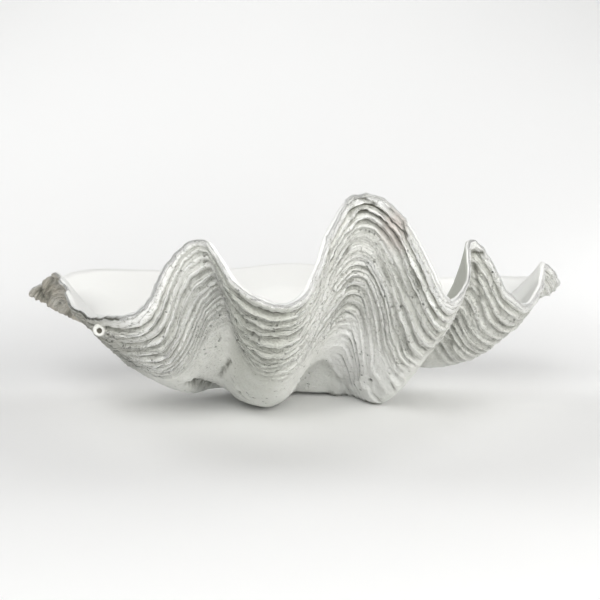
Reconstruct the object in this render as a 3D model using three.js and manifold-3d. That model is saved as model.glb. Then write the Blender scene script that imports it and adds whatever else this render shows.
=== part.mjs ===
import * as THREE from "three";
import { mergeVertices } from "three/addons/utils/BufferGeometryUtils.js";
import Module from "manifold-3d";

// One valve of a giant clam, a deep fluted bowl that stands on the rounded bottoms of its ribs.
// Millimetres. +X runs along the hinge line, +Z is up, -Y looks towards the fluted front edge.

// The rim's outer edge, once round from the left tip. A rib is a low place between two teeth.
const RIM = [
  ["left tip", -293, 69, 115],
  ["tip top", -280, 55, 130],
  ["tooth 0 left", -267, 43, 138],
  ["tooth 0", -257, 25, 148],
  ["tooth 0 right", -244, -3, 136],
  ["rib 1 a", -225, -43, 121],
  ["rib 1 b", -203, -83, 117],
  ["rib 1", -179, -118, 119],
  ["rib 1 c", -157, -135, 125],
  ["rib 1 d", -138, -143, 143],
  ["tooth 1 left", -118, -143, 181],
  ["tooth 1", -91, -141, 200],
  ["tooth 1 right", -77, -147, 185],
  ["rib 2 a", -59, -163, 160],
  ["rib 2 b", -34, -176, 145],
  ["rib 2", -9, -181, 141],
  ["rib 2 c", 10, -175, 148],
  ["tooth 2 left", 26, -158, 175],
  ["tooth 2 shoulder", 38, -141, 210],
  ["tooth 2", 66, -131, 242],
  ["tooth 2 far", 100, -131, 221],
  ["tooth 2 right", 124, -133, 179],
  ["rib 3 a", 140, -131, 146],
  ["rib 3", 156, -123, 135],
  ["tooth 3 left", 174, -83, 155],
  ["tooth 3", 181, -48, 188],
  ["tooth 3 right", 197, -41, 171],
  ["rib 4 a", 218, -31, 134],
  ["rib 4", 246, -3, 112],
  ["tooth 4 left", 270, 47, 127],
  ["tooth 4", 278, 77, 146],
  ["tooth 4 right", 293, 99, 127],
  ["right end", 289, 129, 123],
  ["hinge right", 214, 164, 119],
  ["hinge mid right", 109, 176, 115],
  ["hinge centre", 11, 181, 119],
  ["hinge mid left", -86, 176, 117],
  ["hinge left", -191, 154, 124],
  ["left back", -256, 115, 129],
];

// What changes from one main rib or tooth to the next.
// sway, drop: how far the flank half-way to the umbo leans right and hangs down.
// footSway, footDrop: the same for the feet below it, heelDrop: for the base behind the feet.
// worn: growth stage below which the ledges are rubbed smooth. lip: thickness of the rim.
const FLANKS = {
  "left tip": { sway: 0, drop: -8, footSway: 0, footDrop: 0, heelDrop: 0, worn: 0.82, lip: 7 },
  "tooth 0": { sway: 0, drop: 17, footSway: -6, footDrop: 0, heelDrop: 0, worn: 0.74, lip: 5.5 },
  "rib 1": { sway: 0, drop: -2, footSway: -26, footDrop: -8, heelDrop: 0, worn: 0.74, lip: 8 },
  "tooth 1": { sway: 12, drop: 1, footSway: -39, footDrop: 8, heelDrop: 2, worn: 0.66, lip: 9.5 },
  "rib 2": { sway: -13, drop: 0, footSway: -10, footDrop: 1, heelDrop: 6, worn: 0.8, lip: 10 },
  "tooth 2": { sway: 4, drop: -12, footSway: -1, footDrop: 4, heelDrop: 46, worn: 0.6, lip: 10 },
  "rib 3": { sway: 6, drop: -9, footSway: -1, footDrop: 25, heelDrop: 8, worn: 0.5, lip: 9.5 },
  "tooth 3": { sway: 16, drop: 0, footSway: -6, footDrop: -7, heelDrop: 0, worn: 0.62, lip: 9 },
  "rib 4": { sway: 8, drop: 6, footSway: 0, footDrop: 0, heelDrop: 0, worn: 0.62, lip: 9 },
  "tooth 4": { sway: 4, drop: 6, footSway: 0, footDrop: 0, heelDrop: 0, worn: 0.66, lip: 9 },
  "right end": { sway: 0, drop: 2, footSway: 0, footDrop: 0, heelDrop: 0, worn: 0.7, lip: 10 },
  "hinge centre": { sway: 0, drop: 0, footSway: 0, footDrop: 0, heelDrop: 0, worn: 0.8, lip: 24 },
};

// Growth: the rim, scaled by the growth stage from 0 at the umbo to 1, turns about the umbo.
const UMBO = new THREE.Vector3(-9, 159, 101);
const COIL = 0.85; // the larger, the less the shell has turned
const FIRST_STAGE = 0.08; // keeps the first turn about the umbo finite
const SIDE_TURN = 0.26; // share of the sideways reach that turns down as well
const SIDE_POWER = 0.78; // below 1, the young shell is wide for its length
const SOFTENING = 25; // rounds the surface off across the hinge line
const FOLD_START = { low: 0.2, high: 0.5, share: 0.2 }; // the folds grow in between these stages
const INNER_FOLD = 0.3; // the folds of the inside fade towards the umbo with this power
const WALL = 19; // wall thickness half-way to the umbo
const THINNING_STAGE = 0.45; // from this stage up to the rim the wall thins to the lip
const BOWL_CENTRE = new THREE.Vector3(-4, 106, 46); // bottom of the filled umbo cavity
const BOWL_HOLLOW = 1.5; // how strongly the filled cavity dishes
// Growth stages over which the feet and the heel swell out of the flanks and fade into them again.
const FOOT_STAGES = { start: 0.05, full: 0.38, fading: 0.45, end: 0.85 };
const HEEL_STAGES = { start: 0.02, full: 0.2, fading: 0.32, end: 0.42 };

// Growth ledges on the outside, counted from the rim.
const LEDGES = 12;
const LEDGE_STAGE = 0.033; // growth stages from one ledge to the next
const LEDGE_CREST = 0.36; // where in its step a ledge stands out furthest
const LEDGE_RISE = 1.8;
const CREVICE = 1.9;
const LEDGE_UNEVEN = { share: 0.3, perLedge: 2.4, perStation: 0.35 }; // some stand out more than others
const LEDGE_WEAR = { below: 0.05, above: 0.09 }; // growth stages over which the ledges wear away
const LEDGE_WANDER = 0.3; // how far a ledge strays from its course, in ledges
const WANDER_FROM = 3; // ledges from the rim before they stray fully
const WANDER_WAVES = [
  { round: 5, share: 1, phase: 0.6, perLedge: 0 },
  { round: 11, share: 0.7, phase: 2.1, perLedge: 0 },
  { round: 17, share: 0.4, phase: 0, perLedge: 1 },
];

// The underlip of the deepest groove: an arched edge below which the outside falls back.
const UNDERLIP = { station: 18.3, halfWidth: 1.7, stage: 0.46, arch: 0.07, step: 0.03, depth: 8 };
const UNDERLIP_SIDES = { inner: 0.7, outer: 1.3 }; // where it closes, in half widths
const UNDERLIP_FOOT = { end: 0.1, full: 0.25 }; // growth stages over which it fades at the base

// Columns of the grid in one span between two stations, in front and along the hinge.
const FRONT_COLUMNS = 3;
const HINGE_COLUMNS = 2;
const FIRST_HINGE_STATION = 33;
const BODY_STAGES = [0.04, 0.1, 0.18, 0.26, 0.32, 0.37, 0.42, 0.46, 0.53];
const INNER_STAGES = [1, 0.92, 0.82, 0.71, 0.6, 0.49];
// The filled cavity's rings: share of the way out from its centre, and columns averaged either side.
const BOWL_RINGS = [
  { share: 0.75, blur: 3 },
  { share: 0.42, blur: 9 },
];

const FOOT_TRIM = { size: [900, 700, 100], top: 0 }; // what the rib bottoms are flattened against
// The short tube of a worm on the front of the first rib: its section as radius and height.
const WORM_TUBE = {
  station: 6.25,
  stage: 0.965,
  sides: 14,
  section: [[2.4, -2.5], [5.5, -2.5], [5.5, 1.6], [4.4, 3.2], [2.9, 3.2], [2.4, 1.9], [2.4, -2.5]],
};
const WELD = 1e-4; // points closer than this are one

const COUNT = RIM.length;
const names = RIM.map((station) => station[0]);
const rimStations = RIM.map(([, x, y, z]) => new THREE.Vector3(x, y, z));

// The rim without its folds: each station averaged with its neighbours.
const NEIGHBOUR_WEIGHTS = [1, 2, 3, 4, 3, 2, 1];
const NEIGHBOURS = (NEIGHBOUR_WEIGHTS.length - 1) / 2;
const trendStations = rimStations.map((_, i) => {
  const sum = new THREE.Vector3();
  NEIGHBOUR_WEIGHTS.forEach((weight, k) => {
    sum.addScaledVector(rimStations[(i + k - NEIGHBOURS + COUNT) % COUNT], weight);
  });
  return sum.divideScalar(NEIGHBOUR_WEIGHTS.reduce((a, b) => a + b));
});

const rim = new THREE.CatmullRomCurve3(rimStations, true, "centripetal");
const trend = new THREE.CatmullRomCurve3(trendStations, true, "centripetal");
const pointAt = (curve, t) => curve.getPoint(((((t % COUNT) + COUNT) % COUNT) / COUNT) % 1);
const smooth = (f) => f * f * (3 - 2 * f);
const ramp = (low, high, value) => smooth(THREE.MathUtils.clamp((value - low) / (high - low), 0, 1));

// The value of one of the FLANKS columns at station t, eased from one named station to the next.
const knots = Object.keys(FLANKS).map((name) => ({ at: names.indexOf(name), ...FLANKS[name] }));
function flank(key, t) {
  const place = ((t % COUNT) + COUNT) % COUNT;
  const next = knots.findIndex((knot) => knot.at > place);
  const b = knots[next < 0 ? 0 : next];
  const a = knots[(next < 0 ? knots.length : next) - 1];
  const f = (place - a.at) / ((next < 0 ? COUNT : b.at) - a.at);
  return THREE.MathUtils.lerp(a[key], b[key], smooth(f));
}

// How strongly the flank, the feet and the heel offsets act at growth stage k.
// The flank's share is 1 at most, two thirds of the way to the rim.
const swell = ({ start, full, fading, end }, k) => ramp(start, full, k) * ramp(end, fading, k);
const flankShare = (k) => (27 / 4) * k * k * (1 - k);
const footShare = (k) => swell(FOOT_STAGES, k);
const heelShare = (k) => swell(HEEL_STAGES, k);

// A point of the grown surface at station t and growth stage k.
function grown(t, k, fold) {
  const reachOut = pointAt(trend, t).sub(UMBO);
  const relief = pointAt(rim, t).sub(pointAt(trend, t));
  const { low, high, share } = FOLD_START;
  reachOut.addScaledVector(relief, (share + (1 - share) * ramp(low, high, k)) * k ** fold);
  const turn = Math.log((1 + FIRST_STAGE) / (k + FIRST_STAGE)) / COIL;
  const cos = Math.cos(turn);
  const sin = Math.sin(turn);
  const { x, y, z } = reachOut;
  const behind = Math.max(y, 0);
  const ahead = Math.hypot(y - behind, Math.sqrt(SIDE_TURN) * x, SOFTENING);
  const down = ahead - behind ** 2 / (behind + SOFTENING);
  const sway = flankShare(k) * flank("sway", t) + footShare(k) * flank("footSway", t);
  const drop = flankShare(k) * flank("drop", t) + footShare(k) * flank("footDrop", t);
  return new THREE.Vector3(
    UMBO.x + k ** SIDE_POWER * x + sway,
    UMBO.y + k * (y * cos - z * sin),
    UMBO.z + k * (z * cos - down * sin) - drop - heelShare(k) * flank("heelDrop", t),
  );
}

// The unit normal of the grown surface, pointing out of the shell.
function outward(t, k, fold) {
  const dt = 0.03;
  const dk = 0.003;
  const along = grown(t + dt, k, fold).sub(grown(t - dt, k, fold));
  const towardsRim = grown(t, k + dk, fold).sub(grown(t, Math.max(k - dk, 0), fold));
  return along.cross(towardsRim).normalize();
}

// How far a ledge line has strayed at station t, in ledges, growing from nothing at the rim.
function wander(t, ledge) {
  const angle = (2 * Math.PI * t) / COUNT;
  let stray = 0;
  WANDER_WAVES.forEach(({ round, share, phase, perLedge }) => {
    stray += share * Math.sin(round * angle + phase + perLedge * ledge);
  });
  return LEDGE_WANDER * stray * Math.min(1, ledge / WANDER_FROM);
}

// The outside at a ledge line: whole numbers are crevices, LEDGE_CREST past them the crests.
function ledgePoint(t, ledge, isCrest) {
  const k = 1 - LEDGE_STAGE * (ledge + wander(t, ledge));
  const worn = flank("worn", t);
  const strength = ledge === 0 ? 0 : ramp(worn - LEDGE_WEAR.below, worn + LEDGE_WEAR.above, k);
  const { share, perLedge, perStation } = LEDGE_UNEVEN;
  const uneven = 1 + share * Math.sin(perLedge * Math.floor(ledge) + perStation * t);
  const rise = (isCrest ? LEDGE_RISE : -CREVICE) * uneven * strength;
  return grown(t, k, 0).addScaledVector(outward(t, k, 0), rise - underlip(t, k));
}

function underlip(t, k) {
  const { station, halfWidth, stage, arch, step, depth } = UNDERLIP;
  const across = Math.abs(t - station) / halfWidth;
  const edge = stage - arch * across ** 2;
  const sides = ramp(UNDERLIP_SIDES.outer, UNDERLIP_SIDES.inner, across);
  return depth * sides * ramp(edge, edge - step, k) * ramp(UNDERLIP_FOOT.end, UNDERLIP_FOOT.full, k);
}

const bodyPoint = (t, k) => grown(t, k, 0).addScaledVector(outward(t, k, 0), -underlip(t, k));

function innerPoint(t, k) {
  const lip = flank("lip", t);
  const thickness = THREE.MathUtils.lerp(Math.max(WALL, lip), lip, ramp(THINNING_STAGE, 1, k));
  return grown(t, k, INNER_FOLD).addScaledVector(outward(t, k, INNER_FOLD), -thickness);
}

// The filled umbo cavity: the last inner line, smoothed and drawn in towards the bowl's centre.
function bowlRing(edge, { share, blur }) {
  const width = edge.length;
  return edge.map((_, i) => {
    const mean = new THREE.Vector3();
    for (let j = -blur; j <= blur; j += 1) mean.add(edge[(i + j + width) % width]);
    mean.divideScalar(2 * blur + 1);
    const point = BOWL_CENTRE.clone().lerp(mean, share);
    point.z = THREE.MathUtils.lerp(BOWL_CENTRE.z, mean.z, share ** BOWL_HOLLOW);
    return point;
  });
}

// Stations of the grid's columns, closer in front where the rim folds.
const columns = [];
for (let station = 0; station < COUNT; station += 1) {
  const parts = station < FIRST_HINGE_STATION ? FRONT_COLUMNS : HINGE_COLUMNS;
  for (let part = 0; part < parts; part += 1) columns.push(station + part / parts);
}

// Rings of the closed skin, from the umbo up the outside, over the lip and down to the bowl's centre.
const rings = BODY_STAGES.map((k) => columns.map((t) => bodyPoint(t, k)));
for (let ledge = LEDGES; ledge > 0; ledge -= 1) {
  rings.push(columns.map((t) => ledgePoint(t, ledge, false)));
  rings.push(columns.map((t) => ledgePoint(t, ledge - 1 + LEDGE_CREST, true)));
}
rings.push(columns.map((t) => ledgePoint(t, 0, false)));
INNER_STAGES.forEach((k) => rings.push(columns.map((t) => innerPoint(t, k))));
const bowlEdge = rings.at(-1);
BOWL_RINGS.forEach((ring) => rings.push(bowlRing(bowlEdge, ring)));

// One closed skin through rings of equal length, with a point at either end.
function skin(first, loops, last) {
  const width = loops[0].length;
  const points = [first, ...loops.flat(), last];
  const index = [];
  for (let i = 0; i < width; i += 1) {
    const j = (i + 1) % width;
    index.push(0, 1 + j, 1 + i);
    for (let row = 0; row < loops.length - 1; row += 1) {
      const low = 1 + row * width;
      const high = low + width;
      index.push(low + i, low + j, high + j, low + i, high + j, high + i);
    }
    const top = 1 + (loops.length - 1) * width;
    index.push(points.length - 1, top + i, top + j);
  }
  const geometry = new THREE.BufferGeometry().setFromPoints(points);
  geometry.setIndex(index);
  return geometry;
}

const wasm = await Module();
wasm.setup();

function solidOf(geometry) {
  geometry.deleteAttribute("normal");
  geometry.deleteAttribute("uv");
  const merged = mergeVertices(geometry, WELD);
  const vertProperties = merged.attributes.position.array;
  const triVerts = new Uint32Array(merged.index.array);
  return new wasm.Manifold(new wasm.Mesh({ numProp: 3, vertProperties, triVerts }));
}

function geometryOf(solid) {
  const mesh = solid.getMesh();
  const geometry = new THREE.BufferGeometry();
  geometry.setAttribute("position", new THREE.BufferAttribute(mesh.vertProperties, 3));
  geometry.setIndex(new THREE.BufferAttribute(mesh.triVerts, 1));
  return geometry;
}

// The block under the shell that flattens the rib bottoms.
function footBlock() {
  const [width, depth, height] = FOOT_TRIM.size;
  return new THREE.BoxGeometry(width, depth, height).translate(0, 0, FOOT_TRIM.top - height / 2);
}

function wormTube() {
  const { station, stage, sides, section } = WORM_TUBE;
  const profile = section.map(([radius, height]) => new THREE.Vector2(radius, height));
  const place = grown(station, stage, 0);
  const turned = new THREE.Quaternion();
  turned.setFromUnitVectors(new THREE.Vector3(0, 1, 0), outward(station, stage, 0));
  const tube = new THREE.LatheGeometry(profile, sides);
  return tube.applyQuaternion(turned).translate(place.x, place.y, place.z);
}

const body = solidOf(skin(grown(0, 0, 0), rings, BOWL_CENTRE));
const shellSolid = body.subtract(solidOf(footBlock())).add(solidOf(wormTube()));

const chalk = new THREE.MeshStandardMaterial({ color: 0xdedcd6, roughness: 0.85, metalness: 0 });
const shell = new THREE.Mesh(geometryOf(shellSolid), chalk);
shell.name = "shell";

const clamShell = new THREE.Group();
clamShell.add(shell);

export default clamShell;
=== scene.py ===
"""One valve of a giant clam, its chalky skin grown over the solid form and set in a pale studio."""

from __future__ import annotations

import logging
import math
from collections.abc import Sequence
from dataclasses import dataclass, field
from enum import Enum
from functools import partial, reduce

import bpy
import numpy as np
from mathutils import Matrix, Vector


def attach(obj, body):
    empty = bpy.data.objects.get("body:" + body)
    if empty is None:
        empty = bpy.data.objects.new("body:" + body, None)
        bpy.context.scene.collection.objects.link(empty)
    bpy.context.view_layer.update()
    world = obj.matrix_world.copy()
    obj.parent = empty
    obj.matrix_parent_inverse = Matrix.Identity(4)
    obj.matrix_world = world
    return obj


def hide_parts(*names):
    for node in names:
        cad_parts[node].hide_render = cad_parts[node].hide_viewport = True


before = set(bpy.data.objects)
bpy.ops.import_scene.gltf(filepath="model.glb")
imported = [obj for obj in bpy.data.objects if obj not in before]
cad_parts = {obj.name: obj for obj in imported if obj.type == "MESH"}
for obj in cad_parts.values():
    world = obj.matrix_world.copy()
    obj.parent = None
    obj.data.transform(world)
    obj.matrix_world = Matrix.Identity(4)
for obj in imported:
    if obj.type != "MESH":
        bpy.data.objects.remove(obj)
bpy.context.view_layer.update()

LOG = logging.getLogger("clam_shell")
Colour = tuple[float, float, float]
Point = tuple[float, float, float]
Numbers = float | np.ndarray
Output = bpy.types.NodeSocket
Inputs = dict[str | int, object]

# Less than any length here, so that nothing is divided by 0.
TINY = 1e-12

# The numbers that each point of the shell's skin holds, for its finish to read.
SHELL_MASKS = ("inside", "crevice", "low", "tip", "stain", "wear", "ledge", "film", "painted_shade", "crest")


def ramp(low: Numbers, high: Numbers, value: Numbers) -> np.ndarray:
    """An eased step from 0 at low to 1 at high."""
    share = np.clip((np.asarray(value) - low) / (high - low), 0.0, 1.0)
    return share * share * (3 - 2 * share)


@dataclass(frozen=True)
class Span:
    """An eased change: where it begins and where it is done, and its value at either place."""

    first: float
    last: float
    start: float = 0.0
    end: float = 1.0

    def at(self, place: Numbers) -> np.ndarray:
        """The value at each place."""
        return self.start + (self.end - self.start) * ramp(self.first, self.last, place)


@dataclass(frozen=True)
class Stretch:
    """A stretch with eased ends: where it starts, where it is full, where it fades and ends."""

    start: float
    full: float
    fading: float
    end: float

    def at(self, place: Numbers) -> np.ndarray:
        """How much of it there is at each place, from 0 to 1."""
        return ramp(self.start, self.full, place) * ramp(self.end, self.fading, place)


@dataclass(frozen=True)
class Station:
    """A named point of the rim's outer edge, in metres."""

    name: str
    x: float
    y: float
    z: float


# Once round the rim from the left tip. A rib is a low place between two teeth.
RIM = (
    Station("left tip", -0.293, 0.069, 0.115),
    Station("tip top", -0.280, 0.055, 0.130),
    Station("tooth 0 left", -0.267, 0.043, 0.138),
    Station("tooth 0", -0.257, 0.025, 0.148),
    Station("tooth 0 right", -0.244, -0.003, 0.136),
    Station("rib 1 a", -0.225, -0.043, 0.121),
    Station("rib 1 b", -0.203, -0.083, 0.117),
    Station("rib 1", -0.179, -0.118, 0.119),
    Station("rib 1 c", -0.157, -0.135, 0.125),
    Station("rib 1 d", -0.138, -0.143, 0.143),
    Station("tooth 1 left", -0.118, -0.143, 0.181),
    Station("tooth 1", -0.091, -0.141, 0.200),
    Station("tooth 1 right", -0.077, -0.147, 0.185),
    Station("rib 2 a", -0.059, -0.163, 0.160),
    Station("rib 2 b", -0.034, -0.176, 0.145),
    Station("rib 2", -0.009, -0.181, 0.141),
    Station("rib 2 c", 0.010, -0.175, 0.148),
    Station("tooth 2 left", 0.026, -0.158, 0.175),
    Station("tooth 2 shoulder", 0.038, -0.141, 0.210),
    Station("tooth 2", 0.066, -0.131, 0.242),
    Station("tooth 2 far", 0.100, -0.131, 0.221),
    Station("tooth 2 right", 0.124, -0.133, 0.179),
    Station("rib 3 a", 0.140, -0.131, 0.146),
    Station("rib 3", 0.156, -0.123, 0.135),
    Station("tooth 3 left", 0.174, -0.083, 0.155),
    Station("tooth 3", 0.181, -0.048, 0.188),
    Station("tooth 3 right", 0.197, -0.041, 0.171),
    Station("rib 4 a", 0.218, -0.031, 0.134),
    Station("rib 4", 0.246, -0.003, 0.112),
    Station("tooth 4 left", 0.270, 0.047, 0.127),
    Station("tooth 4", 0.278, 0.077, 0.146),
    Station("tooth 4 right", 0.293, 0.099, 0.127),
    Station("right end", 0.289, 0.129, 0.123),
    Station("hinge right", 0.214, 0.164, 0.119),
    Station("hinge mid right", 0.109, 0.176, 0.115),
    Station("hinge centre", 0.011, 0.181, 0.119),
    Station("hinge mid left", -0.086, 0.176, 0.117),
    Station("hinge left", -0.191, 0.154, 0.124),
    Station("left back", -0.256, 0.115, 0.129),
)
FIRST_HINGE_STATION = 33


@dataclass(frozen=True)
class Flank:
    """What changes from one main rib or tooth to the next.

    sway and drop lean the flank right and let it hang, foot_sway and foot_drop do the same for
    the feet below it and heel_drop for the base behind them. lip is the thickness of the rim.
    """

    station: str
    sway: float = 0.0
    drop: float = 0.0
    foot_sway: float = 0.0
    foot_drop: float = 0.0
    heel_drop: float = 0.0
    lip: float = 0.009


FLANKS = (
    Flank("left tip", drop=-0.008, lip=0.007),
    Flank("tooth 0", drop=0.017, foot_sway=-0.006, lip=0.0055),
    Flank("rib 1 a", 0.0, 0.0075, -0.016, -0.004, 0.0, 0.0035),
    Flank("rib 1", drop=-0.002, foot_sway=-0.026, foot_drop=-0.008, lip=0.008),
    Flank("tooth 1", 0.012, 0.001, -0.039, 0.008, 0.002, 0.0065),
    Flank("rib 2", -0.013, 0.0, -0.010, 0.001, 0.006, 0.0085),
    Flank("tooth 2", 0.004, -0.012, -0.001, 0.004, 0.046, 0.008),
    Flank("rib 3", 0.006, -0.009, -0.001, 0.025, 0.008, 0.0095),
    Flank("tooth 3 left", 0.011, -0.0045, -0.0035, 0.009, 0.004, 0.0035),
    Flank("tooth 3", sway=0.016, foot_sway=-0.006, foot_drop=-0.007, lip=0.0065),
    Flank("rib 4", sway=0.008, drop=0.006),
    Flank("tooth 4", sway=0.004, drop=0.006),
    Flank("right end", drop=0.002, lip=0.010),
    Flank("hinge centre", lip=0.024),
)


@dataclass(frozen=True)
class Zone:
    """How the ledges look at one station.

    Below the stage fade they are rubbed smooth. bold is how far they stand out and deep the share
    of that lower down. crest is how far down each ledge its crest lies, band how many steps wider
    the first ledge is and wide how much wider all of them are. The eighth value is painted shade,
    how grey the skin is painted where it turns from the light, and the ninth how far the skin below
    the ledges is rubbed smooth and painted white as painted light.
    """

    station: float
    fade: float
    bold: float = 1.0
    crest: float = 0.45
    band: float = 0.0
    deep: float = 1.0
    wide: float = 0.0
    painted_shade: float = 0.0
    rubbed_painted_light: float = 0.0


# The eighth value of a zone greys the skin there as painted shade.
ZONES = (
    Zone(0.0, 0.78, 0.4, 0.5, deep=0.4),
    Zone(1.5, 0.78, 0.3, 0.5, deep=0.4, wide=-0.2),
    Zone(3.0, 0.76, 0.45, 0.5, deep=0.5, wide=-0.2),
    Zone(4.2, 0.75, 0.9, 0.4, deep=0.8, wide=-0.1, painted_shade=0.4),
    Zone(5.2, 0.75, 1.2, 0.35, painted_shade=0.6),
    Zone(6.2, 0.75, 1.9, 0.35, 0.2, painted_shade=0.5),
    Zone(7.0, 0.75, 2.0, 0.3, 0.6, painted_shade=0.15),
    Zone(8.5, 0.75, 2.0, 0.3, 0.8),
    Zone(9.6, 0.76, 0.6, 0.35, 0.3, wide=-0.1),
    Zone(10.3, 0.78, 0.4, wide=-0.25),
    Zone(11.2, 0.79, 0.6, wide=-0.25, painted_shade=0.1),
    Zone(12.0, 0.79, 1.3, 0.5, wide=-0.1, painted_shade=0.5),
    Zone(13.0, 0.80, 2.0, 0.65, painted_shade=0.72),
    Zone(15.0, 0.78, 2.1, 0.72, painted_shade=0.72),
    Zone(16.0, 0.74, 1.2, 0.6, painted_shade=0.15),
    Zone(17.0, 0.70, 0.7, deep=0.8),
    Zone(18.2, 0.62, 1.3, 0.4, 0.3),
    # From here the ninth value rubs the feet smooth and paints them white as painted light.
    Zone(18.9, 0.62, 1.5, 0.4, 0.3, 1.0, rubbed_painted_light=0.6),
    Zone(19.5, 0.65, 1.1, 0.4, 0.3, 0.35, rubbed_painted_light=1.0),
    Zone(20.0, 0.66, 1.1, 0.4, 0.3, 0.3, 0.2, 0.05, 1.0),
    Zone(20.8, 0.66, 1.3, 0.5, 0.2, 0.5, 0.5, 0.05, 1.0),
    Zone(22.0, 0.68, 1.3, 0.6, 0.4, 0.55, 0.5, 0.1, 1.0),
    Zone(23.0, 0.80, 1.3, 0.6, 0.8, 0.7, 0.5, 0.15),
    Zone(24.3, 0.64, 0.45, 0.7, 0.3, 1.0, 0.5, 0.1),
    Zone(25.0, 0.62, 0.45, 0.7, 0.2, 1.0, 0.5, 0.15),
    Zone(27.0, 0.62, 0.5, 0.72, 0.2, 1.0, 0.4, 0.15),
    Zone(28.0, 0.62, 0.5, 0.7, 0.2, 1.0, 0.35, 0.15),
    Zone(29.5, 0.68, 0.4, 0.5, 0.0, 0.9, 0.3, 0.1),
    Zone(30.4, 0.72, 0.2),
    Zone(32.0, 0.72, 0.2),
    Zone(33.0, 0.74, 0.8),
    Zone(35.0, 0.80, 0.5),
    Zone(39.0, 0.78, 0.4, 0.5, deep=0.4),
)


def zoned(what: str, station: np.ndarray) -> np.ndarray:
    """One value of the zones at each station number."""
    values = [getattr(zone, what) for zone in ZONES]
    return np.interp(np.mod(station, len(RIM)), [zone.station for zone in ZONES], values)


@dataclass(frozen=True)
class Accent:
    """A part of the skin where the ledges are bolder or, below 0, fainter."""

    stations: Stretch
    stages: Stretch
    amount: float


ACCENTS = (
    Accent(Stretch(17.8, 18.5, 19.9, 20.5), Stretch(0.80, 0.84, 0.91, 0.935), -0.65),
    Accent(Stretch(18.2, 18.7, 20.6, 21.5), Stretch(0.930, 0.945, 0.985, 0.995), 0.3),
)


def accented(station: np.ndarray, stage: np.ndarray) -> np.ndarray:
    """How bold the ledges are at each station and stage, 1 where nothing is changed."""
    return 1 + sum(a.amount * a.stations.at(station) * a.stages.at(stage) for a in ACCENTS)


@dataclass(frozen=True)
class Scar:
    """A crack, pit or bead: a line on the skin, how wide it is and how deep (a bead is negative)."""

    line: tuple[Point, ...]
    width: float
    depth: float
    ragged: float = 0.4


SCARS = (
    Scar(((-0.2763, 0.0705, 0.1066), (-0.2640, 0.0520, 0.1180), (-0.2507, 0.0366, 0.1285)),
         0.0030, 0.0060, 0.3),
    Scar(((-0.2728, 0.0637, 0.1144), (-0.2640, 0.0480, 0.1260), (-0.2570, 0.0364, 0.1361)),
         0.0021, 0.0048, 0.2),
    Scar(((-0.2740, 0.0660, 0.1110), (-0.2640, 0.0500, 0.1220), (-0.2526, 0.0356, 0.1318)),
         0.0018, 0.0044, 0.2),
    Scar(((-0.2770, 0.0636, 0.1155), (-0.2700, 0.0510, 0.1270), (-0.2629, 0.0401, 0.1378)),
         0.0021, 0.0048, 0.2),
    Scar(((-0.2784, 0.0542, 0.1302), (-0.2798, 0.0602, 0.1217), (-0.2779, 0.0674, 0.1104)),
         0.0032, 0.0050, 0.4),
    Scar(((-0.2558, 0.0599, 0.1106),), 0.0022, 0.0030),
    Scar(((-0.2593, 0.0669, 0.1062),), 0.0020, 0.0030),
    Scar(((-0.2501, 0.0517, 0.1130),), 0.0020, 0.0026),
    # Painted shadow: a groove cut in where the first tooth's foot meets the floor and darkened as its deep
    # shade.
    Scar(((-0.1080, -0.0250, 0.0360), (-0.0980, 0.0109, 0.0260), (-0.0905, 0.0400, 0.0175)),
         0.0070, 0.0080, 0.4),
    Scar(((0.0547, -0.1335, 0.2335), (0.0600, -0.1321, 0.2384), (0.0671, -0.1303, 0.2397),
          (0.0752, -0.1283, 0.2338)), 0.0024, 0.0046, 0.7),
    Scar(((0.0540, -0.1293, 0.2243), (0.0606, -0.1273, 0.2288), (0.0696, -0.1255, 0.2287),
          (0.0782, -0.1239, 0.2217), (0.0860, -0.1241, 0.2170)), 0.0024, 0.0044, 0.8),
    Scar(((0.0904, -0.1306, 0.2290), (0.1030, -0.1311, 0.2170), (0.1070, -0.1283, 0.2040)),
         0.0020, 0.0034, 0.9),
    Scar(((0.2822, 0.0841, 0.1400), (0.2890, 0.0935, 0.1290), (0.2850, 0.1030, 0.1180)),
         0.0120, -0.0060, 0.0),
    Scar(((-0.0807, -0.0105, 0.0405), (-0.073, -0.0342, 0.055), (-0.0669, -0.0524, 0.067)), 0.0022, 0.0030),
    Scar(((-0.0659, -0.0305, 0.0415),), 0.0026, 0.0020),
    Scar(((-0.0622, -0.0234, 0.0292), (-0.0528, -0.0237, 0.0207)), 0.0030, 0.0030, 0.8),
    Scar(((-0.0481, -0.0376, 0.0249),), 0.0022, 0.0024),
    Scar(((-0.0375, -0.1377, 0.0979),), 0.0016, 0.0020),
    Scar(((-0.0292, -0.1277, 0.0820), (-0.0243, -0.1298, 0.0825)), 0.0014, 0.0020),
    Scar(((0.0797, 0.0045, 0.0329),), 0.0022, 0.0024),
    Scar(((0.0345, -0.1435, 0.2018), (0.0328, -0.1361, 0.1864)), 0.0018, 0.0022, 0.6),
    Scar(((0.1809, -0.0411, 0.1753), (0.1911, -0.0419, 0.1755)), 0.0028, 0.0038, 0.6),
    Scar(((0.1836, -0.0373, 0.1646), (0.1879, -0.0300, 0.1448), (0.1923, -0.0227, 0.1246)),
         0.0026, 0.0030, 0.5),
    Scar(((0.1706, -0.0046, 0.1007), (0.1628, 0.0102, 0.0819), (0.1661, 0.0186, 0.0693)),
         0.0030, 0.0035, 0.6),
    Scar(((0.0049, -0.0183, 0.0389), (0.0176, -0.0148, 0.0575), (0.0263, -0.0010, 0.0590),
          (0.0351, 0.0190, 0.0528), (0.0489, 0.0498, 0.0299)), 0.0034, -0.0022, 0.2),
)


@dataclass(frozen=True)
class Patch:
    """A crumbly part of the skin: its centre, how far it reaches and how rough it is."""

    centre: Point
    reach: float
    height: float
    lump: float


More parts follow.
